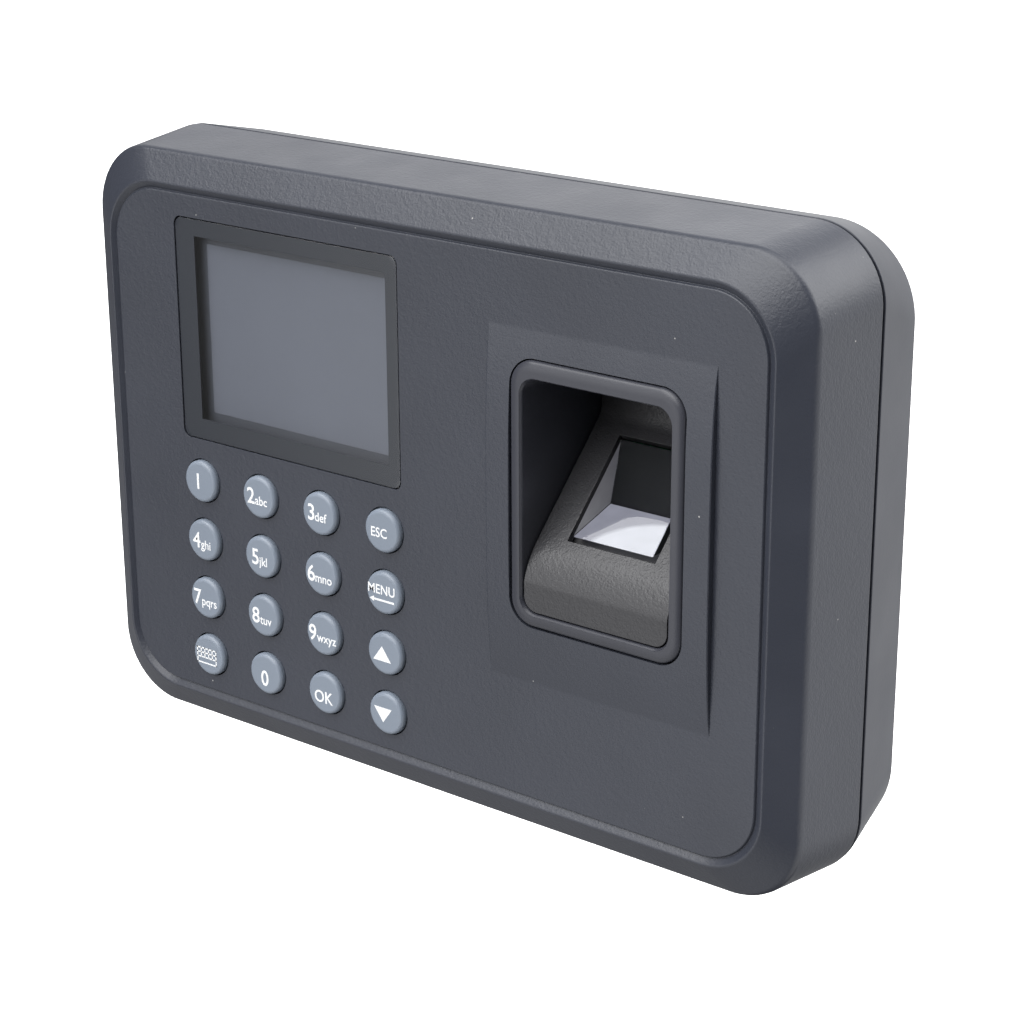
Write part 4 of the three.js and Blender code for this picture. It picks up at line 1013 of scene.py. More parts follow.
@dataclass
class Case:
    """The two shells: a bevelled front with a sunk panel, and a back cover."""

    depth: float = 37.5
    wall: float = 2.4
    fit_gap: float = 0.3
    side_draft: float = 1.55
    bevel_width: float = 6.35
    bevel_depth: float = 4.05
    rim_width: float = 1.75
    panel_drop: float = 0.42
    groove_depth: float = 1.0
    groove_width: float = 0.3
    crest_radius: float = 13.6
    bevel_radius: float = 15.0
    seam_radius: float = 14.6
    rear_radius: float = 17.6
    rear_taper_side: float = 1.1
    rear_taper_top: float = 2.8
    rear_edge: float = 0.35
    seam_relief: float = 0.12
    lip_wall: float = 1.2
    lip_height: float = 3.2
    field_width: float = 52.0
    field_height: float = 72.6
    field_drop: float = 3.0
    field_crown: float = 1.55
    field_roundness: float = 3.5
    field_steps: int = 60
    field_edge: float = 0.3
    boss: float = 7.0
    boss_clearance: float = 3.5
    boss_sink: float = 1.0
    board_post: float = 2.75
    board_hole: float = 1.5
    board_hole_end: float = -27.0
    screw_hole: float = 3.6
    screw_hole_end: float = -26.0
    hole_start: float = -10.0
    cover_post: float = 4.3
    cover_post_clearance: float = 3.2
    cover_post_end: float = -1.2
    screw_bore: float = 1.8
    head_height: float = 2.4
    head_chamfer: float = 0.35
    front: Span = field(default_factory=lambda: Span.of("front_shell"))
    rear: Span = field(default_factory=lambda: Span.of("back_cover"))

    @property
    def panel_y(self) -> float:
        """Depth of the panel's face."""
        return -self.depth + self.panel_drop

    @property
    def inner_y(self) -> float:
        """Depth of the panel's inner face."""
        return self.panel_y + self.wall

    @property
    def bevel(self) -> Section:
        """The outline where the bevel meets the side walls."""
        return Section(-self.depth + self.bevel_depth, self.front.high[0] - self.side_draft,
                       self.front.high[2] - self.side_draft, self.bevel_radius)

    @property
    def crest(self) -> Section:
        """The outline of the rim's crest."""
        return Section(-self.depth, self.bevel.half_width - self.bevel_width,
                       self.bevel.half_height - self.bevel_width, self.crest_radius)

    @property
    def panel(self) -> Section:
        """The outline of the sunk panel."""
        return self.crest.grown(-self.rim_width, self.panel_y)

    def front_skin(self) -> bpy.types.Mesh:
        """Lofts the front shell from its panel, over the rim, to the seam and back inside.

        Returns:
            The closed shell, before anything is cut in it.
        """
        panel, bevel, edge_y = self.panel, self.bevel, self.front.high[1] - self.seam_relief
        seam = Section(edge_y, self.front.high[0], self.front.high[2], self.seam_radius)
        return loft([
            panel.grown(-1.5, self.panel_y),
            replace(panel, soft=0.22),
            panel.grown(self.groove_width, -self.depth + self.groove_depth, 0.12),
            replace(self.crest, soft=0.4),
            replace(bevel, soft=0.9),
            replace(seam, soft=0.3),
            seam.grown(-self.wall, edge_y),
            bevel.grown(-self.wall, bevel.y + self.wall / 2),
            replace(panel, y=self.inner_y),
        ])

    def finger_field(self, sensor_x: float, sensor_z: float) -> bpy.types.Mesh:
        """Makes the crowned raised field around the finger well.

        Args:
            sensor_x: The well's middle.
            sensor_z: The well's middle.

        Returns:
            The field as a closed body that reaches into the panel.
        """
        half, middle_z = self.field_height / 2, sensor_z - self.field_drop
        left, right = sensor_x - self.field_width / 2, sensor_x + self.field_width / 2
        rings = []
        for step in range(self.field_steps + 1):
            along = 1.012 * (1 - 2 * step / self.field_steps)
            rise = self.field_crown * (1 - abs(along) ** self.field_roundness)
            z, top, edge = middle_z + along * half, self.panel_y - rise, min(self.field_edge, abs(rise) / 2)
            turn = [math.pi / 2 * part / SOFT_STEPS for part in range(SOFT_STEPS + 1)]
            corner = [(edge * (1 - math.cos(a)), edge * (1 - math.sin(a))) for a in turn]
            base_y = self.panel_y + self.wall / 2
            rings.append([
                (left, base_y, z), *((left + u, top + v, z) for u, v in corner),
                *((right - u, top + v, z) for u, v in reversed(corner)), (right, base_y, z),
            ])
        return skin(rings)

    def front_shell(self, display: "Display", keypad: "Keypad", sensor: "FingerSensor") -> None:
        """Builds the front shell with every seat and hole cut in it.

        Args:
            display: What sits in the window.
            keypad: What needs the holes.
            sensor: What sits in the well.
        """
        screws = [Span.of(f"case_screw_{n}").middle for n in range(1, 5)]
        board_screws = [Span.of(f"board_screw_{n}").middle for n in range(1, 5)]
        boss_end, root = self.front.high[1] - self.boss_clearance, self.inner_y - self.boss_sink
        board_y = Span.of("main_board").low[1] - self.fit_gap
        added = [self.finger_field(*sensor.centre)]
        added += [post(self.boss / 2, root, boss_end, x, z) for x, _, z in screws]
        added += [post(self.board_post, root, board_y, x, z) for x, _, z in board_screws]
        removed = [post(self.screw_hole / 2, self.screw_hole_end, self.hole_start, x, z)
                   for x, _, z in screws]
        removed += [post(self.board_hole, self.board_hole_end, self.hole_start, x, z)
                    for x, _, z in board_screws]
        removed += display.seat_cutters(self) + keypad.hole_cutters(self) + [sensor.seat_cutter(self)]
        mesh = carve(carve(self.front_skin(), added, Cut.JOIN), removed, Cut.REMOVE)
        mesh = carve(mesh, keypad.hole_ribs(self), Cut.JOIN)
        piece("front_housing", shaded(mesh), CASE_PLASTIC, stands_for=["front_shell"])

    def cover_skin(self) -> bpy.types.Mesh:
        """Lofts the back cover: inside, lip, seam edge, side walls and rear face.

        Returns:
            The closed shell, before anything is cut in it.
        """
        edge_y = self.front.high[1] + 0.5
        half_w, half_h = self.rear.high[0], self.rear.high[2]
        bevel_run = self.front.high[1] - self.bevel.y
        draft = self.side_draft * (self.lip_height + 0.5) / bevel_run
        shrink = self.wall + self.fit_gap + draft
        lip = Section(edge_y, half_w - shrink, half_h - shrink, self.seam_radius - self.wall - self.fit_gap)
        inside = lip.grown(-self.lip_wall, edge_y)
        rear = Section(0, half_w - self.rear_taper_side, half_h - self.rear_taper_top, self.rear_radius)
        return loft([
            rear.grown(-self.wall, -self.wall),
            replace(lip, y=edge_y + self.wall),
            replace(inside, y=edge_y + self.lip_wall),
            replace(inside, y=edge_y - self.lip_height),
            replace(lip, y=edge_y - self.lip_height, soft=0.2),
            replace(lip, y=edge_y + self.seam_relief),
            Section(edge_y + self.seam_relief, half_w, half_h, self.seam_radius, 0.3),
            replace(rear, y=-self.rear_edge, soft=0.3),
            rear.grown(-self.rear_edge, 0, 0.3),
            rear.grown(-self.rear_edge - 3, 0),
        ])

    def back_cover(self, plate: "WallPlate", ports: "Ports") -> None:
        """Builds the back cover with its pocket, grille, screw bores and port windows.

        Args:
            plate: What sits in the pocket.
            ports: What needs the windows.
        """
        screws = [Span.of(f"case_screw_{n}") for n in range(1, 5)]
        post_y = self.front.high[1] - self.cover_post_clearance
        added = [post(self.cover_post, post_y, self.cover_post_end, s.middle[0], s.middle[2]) for s in screws]
        added += plate.pocket_walls(self)
        removed = plate.pocket_cutters(self) + ports.windows(self)
        for span in screws:
            x, _, z = span.middle
            head = span.size[0] / 2 + self.fit_gap
            wide, seat = head + self.head_chamfer, span.high[1] - self.head_height
            removed.append(post(self.screw_bore, -20, seat - 0.5, x, z))
            removed.append(lathe([(0, seat), (head, seat), (head, -self.head_chamfer), (wide, 0), (wide, 2),
                                  (0, 2)], x, z))
        speaker = Span.of("speaker").middle
        slots = row_of_slots(count=5, pitch=4.0, width=2.0, depth=12.0, height=18.0)
        slots.transform(Matrix.Translation(Vector((speaker[0], 0, speaker[2])) * MM))
        mesh = carve(carve(self.cover_skin(), added, Cut.JOIN), [*removed, slots], Cut.REMOVE)
        piece("rear_housing", shaded(mesh), COVER_PLASTIC, stands_for=["back_cover"])


# ---- The display ----

@dataclass
class Display:
    """The glued-in lens with its printed border, and the colour module behind it."""

    ledge_side: float = 1.8
    ledge_end: float = 2.75
    seat_gap: float = 0.16
    seat_flare: float = 0.06
    radius: float = 1.8
    gap: float = 0.3
    print_depth: float = 0.08
    print_thickness: float = 0.15
    window_width: float = 52.3
    window_height: float = 39.7
    window_shift: tuple[float, float] = (1.16, 0.46)
    active_width: float = 48.96
    active_height: float = 36.72
    module_trim: float = 0.2
    module_radius: float = 0.3
    film_radius: float = 0.25
    film_thickness: float = 0.12
    film_y: float = -34.52
    frame_y: float = -34.36
    frame_thickness: float = 0.14
    frame_left: float = -62.2
    frame_right: float = -5.4
    frame_bottom: float = 5.5
    frame_top: float = 47.9
    active_middle: tuple[float, float] = (-32.9, 26.8)
    lens: Span = field(default_factory=lambda: Span.of("display_lens"))
    glass: Span = field(default_factory=lambda: Span.of("lcd_panel"))

    def outline(self, shrink: float = 0.0) -> Section:
        """The lens's outline, smaller by an amount."""
        return Section(0, self.lens.size[0] / 2 - shrink, self.lens.size[2] / 2 - shrink,
                       self.radius - shrink / 2)

    def seat_cutters(self, case: Case) -> list[bpy.types.Mesh]:
        """The recess for the lens and the window behind it.

        Args:
            case: The case that they cut.

        Returns:
            The recess and the window.
        """
        x, _, z = self.lens.middle
        seat_y = self.lens.high[1] + self.gap
        seat = mouth(case.panel_y, seat_y, self.outline(-self.seat_gap), x, z, self.seat_flare)
        width, height = self.lens.size[0] / 2 - self.ledge_side, self.lens.size[2] / 2 - self.ledge_end
        return [seat, block(x - width, x + width, case.panel_y, case.inner_y + 1, z - height, z + height)]

    def window(self, grow: float, y0: float, y1: float) -> bpy.types.Mesh:
        """The block behind the clear part of the border.

        Args:
            grow: How much larger than the window.
            y0: Front.
            y1: Back.

        Returns:
            The block.
        """
        x, z = self.lens.middle[0] + self.window_shift[0], self.lens.middle[2] + self.window_shift[1]
        half_w, half_h = self.window_width / 2 + grow, self.window_height / 2 + grow
        return block(x - half_w, x + half_w, y0, y1, z - half_h, z + half_h)

    def build(self) -> None:
        """Builds the lens, its printed border, the module's glass and its polariser."""
        x, _, z = self.lens.middle
        front, back = self.lens.low[1], self.lens.high[1]
        print_y = front + self.print_depth
        lens = loft([
            self.outline(1.0).grown(0, front),
            self.outline().grown(0, front, 0.16),
            self.outline().grown(0, back),
        ], x, z)
        piece("lens_glass", shaded(lens), LENS_CLEAR, stands_for=["display_lens"])
        border = carve(prism(print_y, print_y + self.print_thickness, self.outline(0.12), x, z),
                       [self.window(0, print_y - 1, back + 1)], Cut.REMOVE)
        piece("lens_border", shaded(border), LENS_PRINT)
        shape = Section(0, self.glass.size[0] / 2 - self.module_trim,
                        self.glass.size[2] / 2 - self.module_trim, self.module_radius)
        module = prism(self.glass.low[1], self.glass.high[1], shape, *self.glass.middle[::2])
        piece("module_glass", shaded(module), LCD_BORDER, stands_for=["lcd_panel"])
        frame_plate = block(self.frame_left, self.frame_right, self.frame_y - self.frame_thickness,
                            self.frame_y, self.frame_bottom, self.frame_top)
        piece("module_border", shaded(frame_plate), LCD_BORDER)
        shape = Section(0, self.active_width / 2, self.active_height / 2, self.film_radius)
        film = prism(self.film_y - self.film_thickness, self.film_y, shape, *self.active_middle)
        piece("module_film", shaded(film), LCD_FILM)


# ---- The keypad ----

class Legend(Enum):
    """Each key's node, its figure, its letters, and how far both stand right and up."""

    KEY_1 = ("key_1", "1", "", -0.5, 0.1)
    KEY_2 = ("key_2", "2", "abc", -0.25, 0.2)
    KEY_3 = ("key_3", "3", "def", -0.3, 0.2)
    KEY_4 = ("key_4", "4", "ghi", -0.3, 0.0)
    KEY_5 = ("key_5", "5", "jkl", -0.25, 0.0)
    KEY_6 = ("key_6", "6", "mno", -0.2, 0.1)
    KEY_7 = ("key_7", "7", "pqrs", 0.0, 0.1)
    KEY_8 = ("key_8", "8", "tuv", -0.25, 0.0)
    KEY_9 = ("key_9", "9", "wxyz", 0.1, 0.1)
    KEY_0 = ("key_0", "0", "", -0.1, -0.9)
    OK = ("key_ok", "", "OK", -0.1, -0.8)
    ESCAPE = ("key_escape", "", "ESC", -0.6, -0.3)
    MENU = ("key_menu", "", "MENU", -0.3, 0.75)
    UP = ("key_up", "", "", -0.6, 0.0)
    DOWN = ("key_down", "", "", -0.7, -0.4)
    INPUT = ("key_input", "", "", -0.5, -0.3)


@dataclass
class Keypad:
    """Sixteen round caps with rounded edges and printed legends."""

    edge: float = 0.85
    hole_gap: float = 0.27
    flare: float = 0.08
    rib: float = 0.45
    rib_angle: float = math.radians(243)
    figure_size: float = 5.0
    letter_size: float = 2.8
    word_size: float = 2.9
    big_word_size: float = 3.8
    ink: float = 0.03
    weight: float = 0.06
    narrow: float = 0.92
    arrow: tuple[tuple[float, float], ...] = (
        (-3.3, -0.6), (-2.1, 0.0), (-2.1, -0.38), (3.3, -0.38), (3.3, -0.82), (-2.1, -0.82), (-2.1, -1.2))
    triangle_half: float = 2.4
    triangle_height: float = 3.3
    board_width: float = 5.9
    board_height: float = 3.75
    board_bar: float = 0.3
    board_columns: int = 5
    caps: dict[str, Span] = field(
        default_factory=lambda: {item.value[0]: Span.of(item.value[0]) for item in Legend})

    def radius(self, span: Span) -> float:
        """The cap's visible radius: the node's own less its flange."""
        return span.size[0] / 2 - 0.95

    def hole_cutters(self, case: Case) -> list[bpy.types.Mesh]:
        """A hole for each key, with a softened front edge.

        Args:
            case: The case that they cut.

        Returns:
            One cutter for each key.
        """
        holes = []
        for span in self.caps.values():
            hole, y = self.radius(span) + self.hole_gap, case.panel_y
            flare = [(hole + self.flare - r, y + d) for r, d in
                     ((0, 0), (self.flare * 0.62, self.flare * 0.38), (self.flare, self.flare))]
            profile = [(0, y - 3), (hole + self.flare, y - 3), *flare, (hole, case.inner_y + 1),
                       (0, case.inner_y + 1)]
            holes.append(lathe(profile, span.middle[0], span.middle[2]))
        return holes

    def hole_ribs(self, case: Case) -> list[bpy.types.Mesh]:
        """The small rib at the lower left of each hole that keeps its cap from turning.

        Args:
            case: The case that they stand in.

        Returns:
            One rib for each key.
        """
        ribs = []
        for span in self.caps.values():
            reach = self.radius(span) + self.hole_gap + self.rib * 0.35
            x = span.middle[0] + reach * math.cos(self.rib_angle)
            z = span.middle[2] + reach * math.sin(self.rib_angle)
            y = case.panel_y + 0.12
            ribs.append(lathe([(0, y), (self.rib * 0.8, y), (self.rib, y + 0.12),
                               (self.rib, case.inner_y - 0.1), (0, case.inner_y - 0.1)], x, z, 16))
        return ribs

    def cap(self, span: Span) -> bpy.types.Mesh:
        """Turns one cap: flat top, rounded edge, skirt, flange and stem.

        Args:
            span: The key's CAD box.

        Returns:
            The cap, in place.
        """
        radius, top, back = self.radius(span), span.low[1], span.high[1]
        flange_y = back - 0.9 - 0.9
        return lathe([
            (0, top), *rounded_edge(radius, self.edge, top),
            (radius, flange_y), (span.size[0] / 2, flange_y), (span.size[0] / 2, flange_y + 0.9),
            (2.0, flange_y + 0.9), (2.0, back), (0, back),
        ], span.middle[0], span.middle[2])

    def text(self, words: str, size: float) -> bpy.types.Mesh:
        """Makes flat bold lettering with a little thickness, its left end at the origin.

        Args:
            words: What it says.
            size: Height of the lettering's line.

        Returns:
            The lettering, flat on X and Y.
        """
        curve = bpy.data.curves.new("lettering", "FONT")
        curve.body = words
        curve.size = size * MM
        curve.extrude = self.ink * MM
        curve.offset = self.weight * size / self.figure_size * MM
        curve.resolution_u = 4
        obj = bpy.data.objects.new("lettering", curve)
        bpy.context.scene.collection.objects.link(obj)
        mesh = baked(obj)
        mesh.transform(Matrix.Diagonal((self.narrow, 1.0, 1.0, 1.0)))
        return mesh

    def polygon(self, outline: Sequence[tuple[float, float]]) -> bpy.types.Mesh:
        """Makes a flat sign with a little thickness from its outline."""
        return skin([[(x, z, y) for x, z in outline] for y in (-self.ink, self.ink)])

    def board_bars(self) -> list[tuple[float, float, float, float]]:
        """The bars of the keyboard sign: its frame, two rows of keys and a long one.

        Returns:
            Each bar's left, right, lower and upper side.
        """
        half_w, half_h, bar = self.board_width / 2, self.board_height / 2, self.board_bar / 2
        rows = [half_h - bar, half_h * 0.36, -half_h * 0.22, -half_h + bar]
        bars = [(-half_w, half_w, z - bar, z + bar) for z in rows]
        for column in range(self.board_columns + 1):
            x = (half_w - bar) * (2 * column / self.board_columns - 1)
            foot = -half_h if column in (0, self.board_columns) else rows[2]
            bars.append((x - bar, x + bar, foot, half_h))
        return bars

    def sign(self, legend: Legend) -> list[bpy.types.Mesh]:
        """The drawn signs: arrows and the keyboard.

        Args:
            legend: The key's legend.

        Returns:
            The sign's parts, or none for a key with lettering only.
        """
        wide, high = self.triangle_half, self.triangle_height / 2
        if legend is Legend.UP:
            return [self.polygon([(-wide, -high), (wide, -high), (0, high)])]
        if legend is Legend.DOWN:
            return [self.polygon([(-wide, high), (0, -high), (wide, high)])]
        if legend is Legend.MENU:
            return [self.polygon([(x, z - 1.75) for x, z in self.arrow])]
        if legend is Legend.INPUT:
            return [self.polygon([(x0, z0), (x1, z0), (x1, z1), (x0, z1)])
                    for x0, x1, z0, z1 in self.board_bars()]
        return []

    def legend_mesh(self, legend: Legend) -> bpy.types.Mesh:
        """Sets a legend's figures, letters and signs side by side around the origin.

        Args:
            legend: The key's legend.

        Returns:
            The legend, flat on X and Y.
        """
        _, figure, letters, right, up = legend.value
        word = self.big_word_size if legend is Legend.OK else self.word_size
        group, reach = bmesh.new(), 0.0
        for words, size in ((figure, self.figure_size), (letters, self.letter_size if figure else word)):
            if words:
                mesh = self.text(words, size)
                mesh.transform(Matrix.Translation((reach - min(v.co.x for v in mesh.vertices), 0, 0)))
                reach = max(v.co.x for v in mesh.vertices) + 0.12 * MM
                group.from_mesh(mesh)
        if group.verts:
            top = max(v.co.y for v in group.verts)
            bmesh.ops.translate(group, verts=group.verts, vec=(-reach / 2, -top / 2, 0))
        for sign in self.sign(legend):
            group.from_mesh(sign)
        bmesh.ops.translate(group, verts=group.verts, vec=(right * MM, up * MM, 0))
        mesh = bpy.data.meshes.new("legend")
        group.to_mesh(mesh)
        group.free()
        return mesh

    def build(self) -> None:
        """Builds every cap and its legend, each riding on its own key."""
        for legend in Legend:
            name = legend.value[0]
            span = self.caps[name]
            piece(f"{name}_cap", shaded(self.cap(span)), KEY_PLASTIC, name, [name])
            ink = self.legend_mesh(legend)
            lay = Matrix(((1, 0, 0, 0), (0, 0, -1, 0), (0, 1, 0, 0), (0, 0, 0, 1)))
            ink.transform(lay)
            ink.transform(Matrix.Translation(Vector((span.middle[0], span.low[1], span.middle[2])) * MM))
            piece(f"{name}_legend", ink, KEY_INK, name)


# ---- The finger sensor ----

@dataclass
class FingerSensor:
    """The rimmed finger well, the ramp in it and the glass block in the ramp."""

    well_width: float = 34.3
    well_height: float = 47.3
    well_radius: float = 3.3
    rim: float = 2.85
    rim_top_extra: float = 0.8
    rim_radius_trim: float = 0.8
    rim_crown: float = 0.4
    wall: float = 1.8
    gap: float = 0.3
    flange: float = 2.0
    flange_thickness: float = 1.5
    well_depth: float = 25.9
    ramp_corner_height: float = 8.7
    nose_radius: float = 16.0
    fillet_radius: float = 5.0
    glass_start: float = 9.2
    glass_length: float = 22.3
    glass_width: float = 18.7
    window_gap: float = 0.95
    bezel: Span = field(default_factory=lambda: Span.of("sensor_bezel"))
    glass: Span = field(default_factory=lambda: Span.of("sensor_prism"))

    @property
    def centre(self) -> tuple[float, float]:
        """X and Z of the well's middle."""
        return self.bezel.middle[0], self.bezel.middle[2] - self.rim_top_extra / 2

    @property
    def rim_outline(self) -> Section:
        """The rim's outer outline.

        Returns:
            The outline, at no depth of its own.
        """
        return Section(0, self.well_width / 2 + self.rim,
                       self.well_height / 2 + self.rim + self.rim_top_extra / 2,
                       self.well_radius + self.rim - self.rim_radius_trim)

    @property
    def well_outline(self) -> Section:
        """The well's outline."""
        return Section(0, self.well_width / 2, self.well_height / 2, self.well_radius)

    def seat_cutter(self, case: Case) -> bpy.types.Mesh:
        """The hole in the front shell for the rim, its edge softened over the crowned field.

        Args:
            case: The case that it cuts.

        Returns:
            The cutter.
        """
        x, z = self.centre
        top = self.bezel.low[1] + 0.2
        shape = self.rim_outline.grown(self.gap, 0)
        return loft([
            shape.grown(1.2, top - 2),
            shape.grown(0.16, top - 0.05, 0.1),
            shape.grown(0, top + 0.2, 0.1),
            shape.grown(0, case.inner_y + 1),
        ], x, z + self.rim_top_extra / 2)

    def build_rim(self, case: Case) -> None:
        """Builds the rim with the well's walls behind it.

        Args:
            case: The case that it clips behind.
        """
        x, z = self.centre
        front, back = self.bezel.low[1], self.bezel.high[1]
        flange_y = case.inner_y + self.gap
        rim, tube = self.rim_outline, self.well_outline.grown(self.wall, 0)
        body = loft([
            rim.grown(-self.rim * 0.72, front),
            rim.grown(-self.rim * 0.30, front + self.rim_crown * 0.35, 0.6),
            rim.grown(0, front + self.rim_crown * 1.6, 0.55),
            rim.grown(0, flange_y - 0.01),
        ], x, z + self.rim_top_extra / 2)
        flange = prism(flange_y - 0.02, flange_y + self.flange_thickness, rim.grown(self.flange, 0),
                       x, z + self.rim_top_extra / 2)
        walls = prism(flange_y, back, tube, x, z)
        joined = carve(body, [flange, walls], Cut.JOIN)
        well = mouth(front, back + 1, self.well_outline, x, z, 0.5)
        piece("well_rim", shaded(carve(joined, [well], Cut.REMOVE)), RIM_PLASTIC,
              stands_for=["sensor_bezel"])

    def on_ramp(self, along: float, above: float) -> tuple[float, float]:
        """Y and Z of a place along the ramp from its sharp lower corner, and above its face.

        Args:
            along: Distance up the slope.
            above: Distance out of its face.

        Returns:
            Its Y and Z.
        """
        corner_z = self.centre[1] - self.well_height / 2 + self.ramp_corner_height
        share = math.sqrt(0.5)
        return self.bezel.low[1] + (along - above) * share, corner_z + (along + above) * share

    def ramp_path(self) -> list[tuple[float, float]]:
        """The ramp's profile: up the front, over the nose, up the slope and the back.

        Returns:
            Points of (Y, Z), from the bottom to the top.
        """
        front, back = self.bezel.low[1], self.bezel.low[1] + self.well_depth
        middle_z, turn = self.centre[1], math.pi / 4
        corner_z = middle_z - self.well_height / 2 + self.ramp_corner_height
        nose_z = corner_z - self.nose_radius * math.tan(turn / 2)
        fillet_z = corner_z + (back - front) + self.fillet_radius * math.tan(turn / 2)
        nose = arc((front + self.nose_radius, nose_z), self.nose_radius, math.pi, math.pi - turn, 28)
        fillet = arc((back - self.fillet_radius, fillet_z), self.fillet_radius, -turn, 0, 14)
        ends = self.well_height / 2 - self.gap
        return [(front + 0.55, middle_z - ends), *[(max(y, front + 0.55), z) for y, z in nose],
                *fillet, (back, middle_z + ends)]

    def build_ramp(self) -> None:
        """Builds the ramp with its round nose and the opening for the glass."""
        x, z = self.centre
        half = self.well_width / 2 - self.gap
        body = extruded(strip(self.ramp_path(), self.wall), x - half, x + half)
        end_y = self.bezel.high[1]
        room = prism(self.bezel.low[1] - 1, end_y + 1, self.well_outline.grown(-self.gap, 0), x, z)
        start = self.glass_start - self.window_gap
        end = self.glass_start + self.glass_length + self.window_gap
        cut = [self.on_ramp(start, 2), self.on_ramp(start, -4), self.on_ramp(end, -4), self.on_ramp(end, 2)]
        half_window = self.glass_width / 2 + self.window_gap
        window = extruded(cut, x - half_window, x + half_window)
        mesh = carve(carve(body, [room], Cut.KEEP_INSIDE), [window], Cut.REMOVE)
        piece("well_ramp", shaded(eased(mesh, 0.14)), RAMP_PLASTIC,
              stands_for=["sensor_housing"])

    def build_glass(self) -> None:
        """Builds the right-angled glass block: a clear finger face, a nearly black back, and sides that glow
        with painted light.
        """
        low, high = self.glass.low, self.glass.high
        outline = [(low[1], low[2]), (high[1], low[2]), (high[1], high[2])]
        mesh = eased(extruded(outline, low[0], high[0]), 0.12, 1)
        middle = (low[0] + high[0]) / 2
        clear = SENSOR_GLASS.material()
        # The base glows pale lilac grey, with a round pool of painted light at its right front corner and
        # painted shade beyond it.
        base = GlowingFace("base_painted_light", (0.26, 0.265, 0.32), (0.62, 0.64, 0.70),
                           (high[0] + 1.0, low[1] - 2.0, low[2]), 15.5)
        back = GlowingFace("back_paint", (0.0035, 0.004, 0.0045), (0.0035, 0.004, 0.0045))
        # The left side glows grey, brighter towards its lower front corner: painted light.
        side = GlowingFace("side_painted_light", (0.075, 0.075, 0.085), (0.14, 0.14, 0.15),
                           (low[0], low[1], low[2]), 12.0, 0.6)
        mesh.materials.clear()
        for material in (clear, base.material(), back.material(), side.material()):
            mesh.materials.append(material)
        for polygon in mesh.polygons:
            normal, centre = polygon.normal, polygon.center / MM
            if normal.z < -0.9:
                polygon.material_index = 1
            elif normal.y > 0.9:
                polygon.material_index = 2
            elif abs(normal.x) > 0.9:
                polygon.material_index = 3 if centre.x < middle else 2
        piece("finger_glass", mesh, SENSOR_GLASS, stands_for=["sensor_prism"])

    def build(self, case: Case) -> None:
        """Builds the well, the ramp and the glass.

        Args:
            case: The case that it sits in.
        """
        self.build_rim(case)
        self.build_ramp()
        self.build_glass()


# ---- Behind the terminal ----

